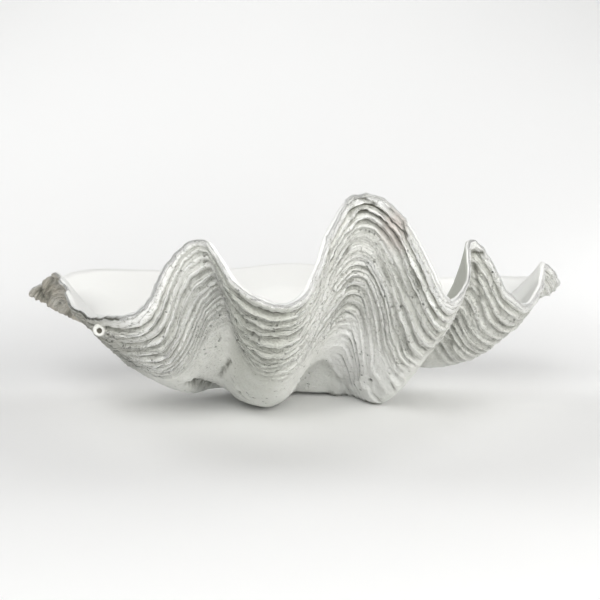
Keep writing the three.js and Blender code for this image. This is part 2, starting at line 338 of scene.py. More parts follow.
PATCHES = (
    Patch((-0.276, 0.055, 0.124), 0.034, 0.0010, 0.0070),
    Patch((-0.240, 0.000, 0.120), 0.040, 0.0016, 0.0080),
    Patch((-0.200, -0.070, 0.105), 0.036, 0.0012, 0.0060),
    Patch((-0.060, -0.028, 0.028), 0.020, 0.0015, 0.0055),
    Patch((0.284, 0.095, 0.128), 0.030, 0.0010, 0.0030),
    Patch((0.062, -0.128, 0.232), 0.024, 0.0012, 0.0040),
    Patch((0.110, -0.118, 0.190), 0.034, 0.0010, 0.0050),
    Patch((0.080, 0.010, 0.035), 0.042, 0.0007, 0.0050),
)


@dataclass(frozen=True)
class Nudge:
    """A stretch of the rim that stands a little off its course: its middle, reach and move."""

    middle: Point
    reach: float
    move: Point


NUDGES = (
    Nudge((-0.2800, 0.0550, 0.1300), 0.0080, (0.0, 0.0, -0.0075)),
    Nudge((-0.2700, 0.0460, 0.1365), 0.0060, (0.0, 0.0, -0.0020)),
    Nudge((-0.2560, 0.0240, 0.1480), 0.0090, (0.0, 0.0, -0.0045)),
    Nudge((0.0660, -0.1310, 0.2440), 0.0070, (0.0, 0.0, -0.0015)),
    Nudge((0.0500, -0.1340, 0.2300), 0.0080, (-0.0005, 0.0, 0.0014)),
    Nudge((0.0830, -0.1310, 0.2350), 0.0080, (0.0005, 0.0, 0.0012)),
    Nudge((-0.2490, 0.0090, 0.1420), 0.0080, (-0.0010, 0.0, -0.0045)),
    Nudge((-0.2330, -0.0280, 0.1260), 0.0200, (-0.0020, 0.0, -0.0080)),
    Nudge((-0.2080, -0.0750, 0.1180), 0.0260, (0.0, 0.0, -0.0050)),
)


def nudges(points: np.ndarray) -> np.ndarray:
    """How far points of the growth surface move, because the rim stands off its course there.

    Args:
        points: The points, in metres.

    Returns:
        The move of each point.
    """
    total = np.zeros_like(points)
    for nudge in NUDGES:
        away = np.linalg.norm(points - np.array(nudge.middle), axis=-1, keepdims=True) / nudge.reach
        total += np.exp(-(away**2)) * np.array(nudge.move)
    return total


def unit(vectors: np.ndarray) -> np.ndarray:
    """The vectors, each made one long."""
    return vectors / np.maximum(np.linalg.norm(vectors, axis=-1, keepdims=True), TINY)


class ClosedCurve:
    """A smooth closed curve through points, read by station number."""

    samples = 4001

    def __init__(self, points: np.ndarray) -> None:
        """Keep the points.

        Args:
            points: One row for each station.
        """
        self.points = points

    def at(self, station: np.ndarray) -> np.ndarray:
        """Points of the curve.

        Args:
            station: Station numbers, whole at the given points.

        Returns:
            One point for each station number.
        """
        whole = np.floor(station).astype(int)
        share = (station - whole)[..., None]
        count = len(self.points)
        before, start, end, after = (self.points[(whole + step) % count] for step in (-1, 0, 1, 2))
        pairs = ((before, start), (start, end), (end, after))
        # The roots of the gaps keep the curve from looping where the stations lie close together.
        gap_in, gap, gap_out = (np.linalg.norm(b - a, axis=-1, keepdims=True) ** 0.5 for a, b in pairs)
        leave = (start - before) / gap_in - (end - before) / (gap_in + gap) + (end - start) / gap
        arrive = (end - start) / gap - (after - start) / (gap + gap_out) + (after - end) / gap_out
        leave, arrive = leave * gap, arrive * gap
        square = 3 * (end - start) - 2 * leave - arrive
        cube = 2 * (start - end) + leave + arrive
        return start + share * (leave + share * (square + share * cube))

    def spread(self, first: float, last: float, count: int) -> np.ndarray:
        """Station numbers an even distance apart.

        Args:
            first: Where the stretch starts.
            last: Where it ends, itself left out.
            count: How many station numbers.

        Returns:
            The station numbers.
        """
        fine = np.linspace(first, last, self.samples)
        points = self.at(fine)
        length = np.concatenate([[0], np.cumsum(np.linalg.norm(np.diff(points, axis=0), axis=1))])
        return np.interp(np.arange(count) / count * length[-1], length, fine)


@dataclass
class Growth:
    """How the valve grew: the rim, scaled by the growth stage, turns about the umbo.

    The smaller coil is, the more it is rolled up, and side_turn is how much its sides roll with
    it. folds is the share of the rim's folds that is left at each stage, and weights evens out
    the stations into the rim's course without its folds.
    """

    umbo: Point = (-0.009, 0.159, 0.101)
    coil: float = 0.85
    first_stage: float = 0.08
    side_turn: float = 0.26
    side_power: float = 0.78
    softening: float = 0.025
    folds: Span = Span(0.2, 0.5, 0.2, 1.0)
    inner_fold: float = 0.3
    wall: float = 0.019
    thinning_stage: float = 0.45
    foot_stages: Stretch = Stretch(0.05, 0.38, 0.45, 0.85)
    heel_stages: Stretch = Stretch(0.02, 0.2, 0.32, 0.42)
    station_step: float = 0.03
    stage_step: float = 0.003
    weights: tuple[int, ...] = (1, 2, 3, 4, 3, 2, 1)
    rim: ClosedCurve = field(init=False)
    trend: ClosedCurve = field(init=False)

    def __post_init__(self) -> None:
        """Lay the rim through its stations, and beside it the same line without its folds."""
        points = np.array([(s.x, s.y, s.z) for s in RIM])
        half = len(self.weights) // 2
        mean = sum(w * np.roll(points, half - i, axis=0) for i, w in enumerate(self.weights))
        self.rim = ClosedCurve(points)
        self.trend = ClosedCurve(mean / sum(self.weights))

    def flank(self, what: str, station: np.ndarray) -> np.ndarray:
        """One value of the flanks, eased from each named station to the next.

        Args:
            what: The name of the value.
            station: Station numbers.

        Returns:
            The value at each station number.
        """
        names = [s.name for s in RIM]
        knots = np.array([names.index(f.station) for f in FLANKS] + [len(RIM)], float)
        values = np.array([getattr(f, what) for f in FLANKS + FLANKS[:1]])
        place = np.mod(station, len(RIM))
        i = np.minimum(np.searchsorted(knots, place, side="right"), len(knots) - 1) - 1
        return values[i] + (values[i + 1] - values[i]) * ramp(knots[i], knots[i + 1], place)

    def grown(self, station: np.ndarray, stage: np.ndarray, fold: float = 0.0) -> np.ndarray:
        """Points of the grown surface.

        Args:
            station: Station numbers.
            stage: Growth stages, 0 at the umbo and 1 at the rim.
            fold: The power with which the folds fade towards the umbo.

        Returns:
            One point for each pair of station and stage.
        """
        k = stage
        relief = self.rim.at(station) - self.trend.at(station)
        relief = relief * (self.folds.at(k) * k**fold)[..., None]
        reach = self.trend.at(station) - np.array(self.umbo) + relief
        x, y, z = np.moveaxis(reach, -1, 0)
        turn = np.log((1 + self.first_stage) / (k + self.first_stage)) / self.coil
        behind = np.maximum(y, 0)
        ahead = np.sqrt((y - behind) ** 2 + self.side_turn * x**2 + self.softening**2)
        down = ahead - behind**2 / (behind + self.softening)
        # This is largest, and 1, at two thirds of the growth.
        hang = 27 / 4 * k * k * (1 - k)
        foot = self.foot_stages.at(k)
        sway = hang * self.flank("sway", station) + foot * self.flank("foot_sway", station)
        drop = hang * self.flank("drop", station) + foot * self.flank("foot_drop", station)
        drop = drop + self.heel_stages.at(k) * self.flank("heel_drop", station)
        places = (
            self.umbo[0] + k**self.side_power * x + sway,
            self.umbo[1] + k * (y * np.cos(turn) - z * np.sin(turn)),
            self.umbo[2] + k * (z * np.cos(turn) - down * np.sin(turn)) - drop,
        )
        return np.stack(places, axis=-1)

    def axes(self, station: np.ndarray, stage: np.ndarray, fold: float = 0.0) -> tuple[np.ndarray, ...]:
        """Directions at points of the grown surface.

        Args:
            station: Station numbers.
            stage: Growth stages.
            fold: The power with which the folds fade towards the umbo.

        Returns:
            Unit vectors along the rim, towards the rim and out of the shell.
        """
        step, rise = self.station_step, self.stage_step
        along = self.grown(station + step, stage, fold) - self.grown(station - step, stage, fold)
        lower = np.maximum(stage - rise, 0)
        towards_rim = self.grown(station, stage + rise, fold) - self.grown(station, lower, fold)
        return unit(along), unit(towards_rim), unit(np.cross(along, towards_rim))


class LumpField:
    """Smooth random lumps that fill space, the same on every run."""

    def __init__(self, seed: int, cells: int = 48) -> None:
        """Draw the lumps.

        Args:
            seed: What the draw starts from.
            cells: How many lumps stand side by side before they repeat.
        """
        self.cells = cells
        self.values = np.random.default_rng(seed).uniform(-1, 1, (cells, cells, cells))

    def at(self, points: np.ndarray, size: float | Sequence[float]) -> np.ndarray:
        """How high the lumps stand.

        Args:
            points: Where they are read.
            size: The distance between two lumps, one for all or one for each direction.

        Returns:
            Heights from -1 to 1.
        """
        place = points / np.asarray(size)
        whole = np.floor(place).astype(int)
        share = place - whole
        share = share * share * (3 - 2 * share)
        total = np.zeros(points.shape[:-1])
        for corner in np.ndindex(2, 2, 2):
            weight = np.prod(np.where(corner, share, 1 - share), axis=-1)
            i, j, k = np.moveaxis((whole + corner) % self.cells, -1, 0)
            total += weight * self.values[i, j, k]
        return total


class Socket(Enum):
    """The kinds of socket that a node group can have."""

    NUMBER = "NodeSocketFloat"
    COLOUR = "NodeSocketColor"


@dataclass(frozen=True)
class Pattern:
    """Random values: how close they lie, how many finer layers they have and how strong those are."""

    scale: float = 1.0
    detail: float = 2.0
    rough: float = 0.5


# What the values of the grain mostly keep to.
GRAIN_RANGE = (0.3, 0.7)


class Bench:
    """Lays shader nodes in one tree."""

    def __init__(self, tree: bpy.types.NodeTree) -> None:
        """Take a tree.

        Args:
            tree: The node tree that the nodes go in.
        """
        self.tree = tree

    def feed(self, node: bpy.types.Node, inputs: Inputs) -> None:
        """Give a node's inputs their values.

        Args:
            node: The node.
            inputs: What each input gets, by name or number: a value, or an output to link.
        """
        for name, value in inputs.items():
            if isinstance(value, Output):
                self.tree.links.new(value, node.inputs[name])
            else:
                node.inputs[name].default_value = value

    def node(self, kind: str, inputs: Inputs | None = None, **settings: object) -> bpy.types.Node:
        """Add one node.

        Args:
            kind: The node's type, without the word ShaderNode.
            inputs: What each input gets.
            **settings: The node's own properties.

        Returns:
            The node.
        """
        made = self.tree.nodes.new("ShaderNode" + kind)
        for name, value in settings.items():
            setattr(made, name, value)
        self.feed(made, inputs or {})
        return made

    def attribute(self, name: str) -> Output:
        """The number that the mesh holds under that name."""
        return self.node("Attribute", attribute_name=name).outputs["Fac"]

    def sum(self, operation: str, a: object, b: object) -> Output:
        """The result of a sum with two numbers or outputs."""
        return self.node("Math", {0: a, 1: b}, operation=operation).outputs[0]

    def times(self, *factors: object) -> Output:
        """The product of numbers or outputs."""
        return reduce(partial(self.sum, "MULTIPLY"), factors)

    def most(self, *values: object) -> Output:
        """The largest of some numbers or outputs."""
        return reduce(partial(self.sum, "MAXIMUM"), values)

    def eased(self, value: object, span: Span) -> Output:
        """The value, eased along a span and kept inside it."""
        inputs = {"Value": value, 1: span.first, 2: span.last, 3: span.start, 4: span.end}
        return self.node("MapRange", inputs, interpolation_type="SMOOTHSTEP").outputs[0]

    def rough(self, grain: Output, middle: float, spread: float) -> Output:
        """A roughness that varies a little with the grain."""
        return self.eased(grain, Span(*GRAIN_RANGE, middle - spread, middle + spread))

    def noise(self, place: Output, pattern: Pattern) -> Output:
        """Random values from 0 to 1."""
        inputs = {"Scale": pattern.scale, "Detail": pattern.detail, "Roughness": pattern.rough}
        return self.node("TexNoise", {"Vector": place} | inputs).outputs[0]

    def drawn(self, place: Output, sizes: Point, pattern: Pattern) -> Output:
        """Random values that lie closer together in some directions than in others."""
        closer = self.node("VectorMath", {0: place, 1: sizes}, operation="MULTIPLY")
        return self.noise(closer.outputs[0], pattern)

    def mixed(self, share: object, a: object, b: object) -> Output:
        """Mix two colours.

        Args:
            share: How much of the second there is, from 0 to 1.
            a: The first, three numbers or an output.
            b: The second.

        Returns:
            The colour between them.
        """
        made = self.node("Mix", data_type="RGBA", clamp_factor=True)
        first, second = (colour if isinstance(colour, Output) else (*colour, 1.0) for colour in (a, b))
        self.feed(made, {0: share, 6: first, 7: second})
        return made.outputs[2]

    def bump(self, height: Output, distance: float, under: Output | None = None, cut: bool = False) -> Output:
        """Raise the surface, or cut it in.

        Args:
            height: The height, from 0 to 1.
            distance: How far 1 is, in metres.
            under: The normal that it is laid on, if not the mesh's own.
            cut: Whether it goes inwards.

        Returns:
            The new normal.
        """
        inputs = {"Strength": 1.0, "Distance": distance, "Height": height}
        if under is not None:
            inputs["Normal"] = under
        return self.node("Bump", inputs, invert=cut).outputs[0]


def new_material(name: str) -> tuple[bpy.types.Material, Bench, bpy.types.Node]:
    """Start a material.

    Args:
        name: The material's name.

    Returns:
        The material, a bench for its nodes and its shader.
    """
    made = bpy.data.materials.new(name)
    made.use_nodes = True
    return made, Bench(made.node_tree), made.node_tree.nodes["Principled BSDF"]


def new_group(
    name: str, inputs: dict[str, tuple[Socket, object]], outputs: dict[str, Socket]
) -> tuple[bpy.types.NodeTree, Bench, bpy.types.Node, bpy.types.Node]:
    """Start a shader node group.

    Args:
        name: The group's name.
        inputs: The kind and the usual value of each input.
        outputs: The kind of each output.

    Returns:
        The group, a bench for its nodes, its input node and its output node.
    """
    group = bpy.data.node_groups.new(name, "ShaderNodeTree")
    for title, (kind, usual) in inputs.items():
        made = group.interface.new_socket(title, in_out="INPUT", socket_type=kind.value)
        made.default_value = usual
    for title, kind in outputs.items():
        group.interface.new_socket(title, in_out="OUTPUT", socket_type=kind.value)
    enter = group.nodes.new("NodeGroupInput")
    leave = group.nodes.new("NodeGroupOutput")
    return group, Bench(group), enter, leave


@dataclass(frozen=True)
class ChalkGrain:
    """Fine grain, broad mottling, and pinholes that stand in thickets."""

    grain: Pattern = Pattern(270.0, 3.0, 0.8)
    mottle: Pattern = Pattern(38.0, 4.0, 0.6)
    thickets: Pattern = Pattern(95.0)
    thicket: Span = Span(0.56, 0.68)
    holes: float = 210.0
    hole: Span = Span(0.16, 0.34, 1.0, 0.0)

    def group(self) -> bpy.types.NodeTree:
        """Build the shader node group.

        Returns:
            A group that puts out the grain, the mottling and the pinholes, each from 0 to 1.
        """
        number = Socket.NUMBER
        outputs = {"Grain": number, "Mottle": number, "Pinholes": number}
        group, bench, enter, leave = new_group("chalk_grain", {"Scale": (number, 1.0)}, outputs)
        size = {0: bench.node("TexCoord").outputs["Object"], 3: enter.outputs["Scale"]}
        place = bench.node("VectorMath", size, operation="SCALE").outputs[0]
        cells = bench.node("TexVoronoi", {"Vector": place, "Scale": self.holes, "Randomness": 1.0})
        deep = bench.eased(cells.outputs["Distance"], self.hole)
        few = bench.eased(bench.noise(place, self.thickets), self.thicket)
        found = {
            "Grain": bench.noise(place, self.grain),
            "Mottle": bench.noise(place, self.mottle),
            "Pinholes": bench.times(deep, few),
        }
        bench.feed(leave, found)
        return group


@dataclass(frozen=True)
class SettledDirtAndShade:
    """Dirt and painted shade in the hollows, broken up by noise except where they are deepest."""

    broken: Span = Span(0.36, 0.62, 0.35, 1.0)
    whole: Span = Span(0.85, 1.0)

    def group(self) -> bpy.types.NodeTree:
        """Build the shader node group.

        Returns:
            A group that tints a colour where a mask and noise that breaks it up say so.
        """
        inputs = {
            "Colour": (Socket.COLOUR, (0.8, 0.8, 0.8, 1.0)),
            "DirtAndShade": (Socket.COLOUR, (0.2, 0.2, 0.18, 1.0)),
            "Mask": (Socket.NUMBER, 0.0),
            "Breaks": (Socket.NUMBER, 0.5),
        }
        group, bench, enter, leave = new_group("settled_dirt_and_shade", inputs, {"Colour": Socket.COLOUR})
        colour, dirt_and_shade, mask, breaks = (enter.outputs[title] for title in inputs)
        share = bench.times(mask, bench.eased(breaks, self.broken))
        share = bench.most(share, bench.eased(mask, self.whole))
        bench.feed(leave, {"Colour": bench.mixed(share, colour, dirt_and_shade)})
        return group


@dataclass(frozen=True)
class ShellFinish:
    """Chalky outside with crevices darkened by dirt and painted shade, painted shade on some flanks and
    painted light on the ledge tops, a beige tip, a pink-brown stain and a smooth inside with painted shade at
    its right end.

    lines, dashes and creases are drawn out along the ledges. Each has how close it lies in each
    direction and its pattern, and a crease also has its width.
    """

    name: str = "clam_shell_chalk"
    chalk: Colour = (0.89, 0.89, 0.85)
    # Painted light: the lighter colour laid on ledge tops, the lip and the rubbed feet.
    crest: Colour = (0.97, 0.97, 0.95)
    grey_chalk: Colour = (0.74, 0.745, 0.70)
    streak: Colour = (0.62, 0.625, 0.57)
    speck: Colour = (0.50, 0.50, 0.45)
    # Painted shade: the grey laid on flanks and ledge undersides that turn from the light.
    painted_shade: Colour = (0.52, 0.53, 0.47)
    # Dirt and painted shade that settle in the crevices.
    dirt_and_shade: Colour = (0.17, 0.17, 0.14)
    tip: Colour = (0.68, 0.64, 0.555)
    stain: Colour = (0.68, 0.62, 0.58)
    inside: Colour = (0.93, 0.93, 0.91)
    # Painted shade in the bowl's right end.
    film: Colour = (0.46, 0.47, 0.42)
    base: Colour = (0.86, 0.87, 0.84)
    roughness: float = 0.82
    uneven: float = 0.08
    inside_roughness: float = 0.5
    gloss: float = 0.35
    lines: tuple[Point, Pattern] = ((6.0, 6.0, 3.6), Pattern(1.0, 5.0, 0.68))
    dashes: tuple[Point, Pattern] = ((90.0, 90.0, 1.3), Pattern(1.0, 3.0, 0.6))
    creases: tuple[tuple[Point, Pattern, float], ...] = (
        ((6.0, 6.0, 2.6), Pattern(1.0, 1.0), 0.014),
        ((14.0, 14.0, 6.5), Pattern(1.0, 1.0), 0.012),
    )
    line_depth: float = 0.0032
    grain_depth: float = 0.0034
    crease_depth: float = 0.0009
    crease_shade: float = 0.4
    hole_shade: float = 0.8
    mottles: Span = Span(0.42, 0.66, 0.0, 0.45)
    streaks: Span = Span(0.47, 0.37, 0.0, 0.7)
    specks: Span = Span(0.47, 0.35, 0.0, 0.8)
    worn_specks: Span = Span(0.0, 1.0, 0.35, 1.0)
    patches: Span = Span(0.3, 0.6, 0.55, 1.0)

    @staticmethod
    def crease(bench: Bench, flow: Output, sizes: Point, pattern: Pattern, width: float) -> Output:
        """Lay thin lines that run along the ledges, meet and part.

        Args:
            bench: Where the nodes go.
            flow: The place on the skin, with the ledge as the third number.
            sizes: How close the lines lie, in each direction.
            pattern: The random values whose middle they follow.
            width: How wide they are.

        Returns:
            A mask that is 1 in the middle of a line.
        """
        middle = bench.sum("SUBTRACT", bench.drawn(flow, sizes, pattern), 0.5)
        return bench.eased(bench.sum("ABSOLUTE", middle, 0.0), Span(0.0, width, 1.0, 0.0))

    def marks(self, bench: Bench, grain: bpy.types.NodeTree) -> dict[str, Output]:
        """Gather what the colour and the relief are made from.

        Args:
            bench: Where the nodes go.
            grain: The chalk grain group.

        Returns:
            The masks that the mesh holds and the patterns that lie over it, by name.
        """
        marks = {name: bench.attribute(name) for name in SHELL_MASKS}
        marks |= dict(bench.node("Group", node_tree=grain).outputs.items())
        place = bench.node("SeparateXYZ", {0: bench.node("TexCoord").outputs["Object"]}).outputs
        flow = bench.node("CombineXYZ", {0: place["X"], 1: place["Y"], 2: marks["ledge"]}).outputs[0]
        creases = bench.most(*(self.crease(bench, flow, *crease) for crease in self.creases))
        marks["outside"] = bench.sum("SUBTRACT", 1.0, marks["inside"])
        marks["creases"] = bench.times(creases, marks["wear"], marks["outside"])
        marks["lines"] = bench.drawn(flow, *self.lines)
        marks["dashes"] = bench.drawn(flow, *self.dashes)
        return marks

    def clean(self, bench: Bench, marks: dict[str, Output]) -> Output:
        """Mix the colour of the outside, with its painted light and painted shade, before dirt and painted
        shade settle in the crevices.

        Args:
            bench: Where the nodes go.
            marks: The masks and patterns, by name.

        Returns:
            The colour.
        """
        colour = bench.mixed(bench.eased(marks["Mottle"], self.mottles), self.chalk, self.grey_chalk)
        specks = bench.eased(marks["Grain"], self.specks)
        patches = bench.eased(marks["Mottle"], self.patches)
        layers = (
            # Painted light on ledge tops, the lip and the rubbed feet.
            (marks["crest"], self.crest),
            # Painted shade greys flanks and the undersides of the ledges.
            (marks["painted_shade"], self.painted_shade),
            (bench.times(bench.eased(marks["lines"], self.streaks), marks["wear"]), self.streak),
            (bench.times(specks, bench.eased(marks["wear"], self.worn_specks)), self.speck),
            (marks["low"], self.base),
            (bench.times(marks["tip"], patches), self.tip),
            (bench.times(marks["stain"], patches), self.stain),
        )
        for share, tint in layers:
            colour = bench.mixed(share, colour, tint)
        return colour

    def carved(self, bench: Bench, marks: dict[str, Output]) -> Output:
        """Lay growth lines, creases, grain and pinholes over the outside.

        Args:
            bench: Where the nodes go.
            marks: The masks and patterns, by name.

        Returns:
            The normal.
        """
        lines = bench.times(marks["lines"], marks["wear"], marks["outside"])
        grain = bench.times(bench.sum("SUBTRACT", marks["Grain"], marks["Pinholes"]), marks["outside"])
        lined = bench.bump(lines, self.line_depth)
        creased = bench.bump(marks["creases"], self.crease_depth, lined, cut=True)
        return bench.bump(grain, self.grain_depth, creased)

    def material(self, grain: bpy.types.NodeTree, dirt_and_shade: bpy.types.NodeTree) -> bpy.types.Material:
        """Make the material.

        Args:
            grain: The chalk grain group.
            dirt_and_shade: The group of settled dirt and painted shade.

        Returns:
            The material, which reads the masks that the mesh holds.
        """
        made, bench, shader = new_material(self.name)
        marks = self.marks(bench, grain)
        creases = bench.times(marks["creases"], self.crease_shade)
        holes = bench.times(marks["Pinholes"], self.hole_shade)
        inputs = {
            "Colour": self.clean(bench, marks),
            "DirtAndShade": (*self.dirt_and_shade, 1.0),
            "Mask": bench.most(marks["crevice"], creases, holes),
            "Breaks": marks["dashes"],
        }
        dirty = bench.node("Group", inputs, node_tree=dirt_and_shade).outputs["Colour"]
        bowl = bench.mixed(marks["film"], self.inside, self.film)
        chalky = bench.rough(marks["Grain"], self.roughness, self.uneven)
        smooth = bench.times(marks["inside"], self.roughness - self.inside_roughness)
        looks = {
            "Base Color": bench.mixed(marks["inside"], dirty, bowl),
            "Roughness": bench.sum("SUBTRACT", chalky, smooth),
            "Specular IOR Level": self.gloss,
            "Normal": self.carved(bench, marks),
        }
        bench.feed(shader, looks)
        return made


@dataclass(frozen=True)
class TubeFinish:
    """Bright chalk of the worm tube."""

    name: str = "worm_tube_chalk"
    chalk: Colour = (0.82, 0.815, 0.775)
    # Dirt and painted shade in the bore.
    dirt_and_shade: Colour = (0.16, 0.15, 0.12)
    roughness: float = 0.75
    uneven: float = 0.07
    grain_scale: float = 1.4
    grain_depth: float = 0.0004

    def material(self, grain: bpy.types.NodeTree, dirt_and_shade: bpy.types.NodeTree) -> bpy.types.Material:
        """Make the material.

        Args:
            grain: The chalk grain group.
            dirt_and_shade: The group of settled dirt and painted shade.

        Returns:
            The material, which reads the bore mask that the mesh holds.
        """
        made, bench, shader = new_material(self.name)
        speckle = bench.node("Group", {"Scale": self.grain_scale}, node_tree=grain).outputs
        inputs = {
            "Colour": (*self.chalk, 1.0),
            "DirtAndShade": (*self.dirt_and_shade, 1.0),
            "Mask": bench.attribute("crevice"),
            "Breaks": speckle["Mottle"],
        }
        looks = {
            "Base Color": bench.node("Group", inputs, node_tree=dirt_and_shade).outputs["Colour"],
            "Roughness": bench.rough(speckle["Grain"], self.roughness, self.uneven),
            "Normal": bench.bump(speckle["Grain"], self.grain_depth),
        }
        bench.feed(shader, looks)
        return made


@dataclass(frozen=True)
class FloorFinish:
    """Pale matte paper under and behind the shell."""

    name: str = "studio_paper"
    paper: Colour = (0.93, 0.93, 0.925)
    roughness: float = 0.7
    gloss: float = 0.2

    def material(self) -> bpy.types.Material:
        """Make the plain material of the floor.

        Returns:
            The material.
        """
        made, bench, shader = new_material(self.name)
        looks = {
            "Base Color": (*self.paper, 1.0),
            "Roughness": self.roughness,
            "Specular IOR Level": self.gloss,
        }
        bench.feed(shader, looks)
        return made


class Skin:
    """A closed mesh of rings, with a point at either end."""

    def __init__(self, masks: Sequence[str]) -> None:
        """Start with no rings.

        Args:
            masks: The names of the numbers that each point holds.
        """
        self.masks = tuple(masks)
        self.rings: list[np.ndarray] = []
        self.values: dict[str, list[np.ndarray]] = {name: [] for name in self.masks}

    def add(self, points: np.ndarray, **masks: np.ndarray | float) -> None:
        """Add a ring, or one point at an end.

        Args:
            points: The points of the ring, one row for each.
            **masks: The numbers that they hold. What isn't given is 0.
        """
        self.rings.append(points)
        for name in self.masks:
            value = np.broadcast_to(np.asarray(masks.get(name, 0.0), float), len(points))
            self.values[name].append(value)

    def faces(self) -> list[tuple[int, ...]]:
        """Join each ring to the next.

        Returns:
            Faces that look outwards. A ring may have half or twice the points of the one before.
        """
        starts = np.cumsum([0] + [len(ring) for ring in self.rings])
        numbers = [start + np.arange(len(ring)) for start, ring in zip(starts, self.rings)]
        return [face for a, b in zip(numbers, numbers[1:]) for face in self.band(a, b)]

    @staticmethod
    def band(a: np.ndarray, b: np.ndarray) -> list[tuple[int, ...]]:
        """Join two rings.

        Args:
            a: The point numbers of the first.
            b: The point numbers of the second.

        Returns:
            The faces between them.
        """
        if len(a) == 1:
            parts = [(np.full(len(b), a[0]), np.roll(b, -1), b)]
        elif len(b) == 1:
            parts = [(np.full(len(a), b[0]), a, np.roll(a, -1))]
        elif len(a) == len(b):
            parts = [(a, np.roll(a, -1), np.roll(b, -1), b)]
        elif len(a) == 2 * len(b):
            first, middle, last = a[0::2], a[1::2], np.roll(a, -2)[0::2]
            after = np.roll(b, -1)
            parts = [(first, middle, b), (middle, after, b), (middle, last, after)]
        else:
            first, middle, last = b[0::2], b[1::2], np.roll(b, -2)[0::2]
            after = np.roll(a, -1)
            parts = [(first, a, middle), (middle, a, after), (middle, after, last)]
        return [face for part in parts for face in zip(*(p.tolist() for p in part))]

    def build(self, name: str, material: bpy.types.Material) -> bpy.types.Object:
        """Make the object, dress it and tie it to the solid of the shell.

        Args:
            name: Its name.
            material: Its finish.

        Returns:
            A smooth object whose mesh holds the masks.
        """
        mesh = bpy.data.meshes.new(name)
        mesh.from_pydata(np.concatenate(self.rings).tolist(), [], self.faces())
        for mask, values in self.values.items():
            held = mesh.attributes.new(mask, "FLOAT", "POINT")
            held.data.foreach_set("value", np.concatenate(values).astype(np.float32))
        mesh.shade_smooth()
        mesh.validate()
        mesh.materials.append(material)
        made = bpy.data.objects.new(name, mesh)
        bpy.context.scene.collection.objects.link(made)
        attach(made, "root")
        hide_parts("shell")
        return made


@dataclass
class Ledges:
    """The growth ledges of the outside, counted from the rim in steps of one growth stage.

    edges says where each ledge begins, phases where its rows lie in it, and last and lower_step
    how far down and how close together the rows below the ledges go.
    """

    stage: float = 0.033
    edges: tuple[float, ...] = (
        0.0, 0.42, 1.03, 1.81, 2.51, 3.45, 4.35, 4.97, 5.47,
        5.98, 6.6, 7.4, 8.3, 9.3, 10.05, 10.95, 11.75, 12.5,
    )
    phases: tuple[float, ...] = (0.0, 0.1, 0.2, 0.3, 0.42, 0.54, 0.66, 0.78, 0.9)
    last: float = 22.0
    lower_step: float = 0.2

    def upper_rows(self) -> tuple[np.ndarray, np.ndarray]:
        """Lay out the rows of the ledges.

        Returns:
            For each row its place in steps and the number of its ledge. The number's broken
            part is how far down the ledge the row lies.
        """
        places, numbers = [], []
        for number, (top, foot) in enumerate(zip(self.edges, self.edges[1:])):
            places += [top + phase * (foot - top) for phase in self.phases]
            numbers += [number + phase for phase in self.phases]
        return np.array(places), np.array(numbers)

    def lower_rows(self) -> np.ndarray:
        """The places, in steps, of the rows below the ledges."""
        return np.arange(self.edges[-1], self.last, self.lower_step)


@dataclass(frozen=True)
class Stray:
    """Random bends of the ledge lines: how far, how large, and how many steps down they are full."""

    height: float
    size: Point
    rise: float


# The waves of the ledge lines: how tall each is, how many go round the rim, where it starts and
# how far it moves on with each step.
WAVES = ((1.0, 5, 0.6, 0.0), (0.7, 11, 2.1, 0.0), (0.4, 17, 0.0, 1.0))


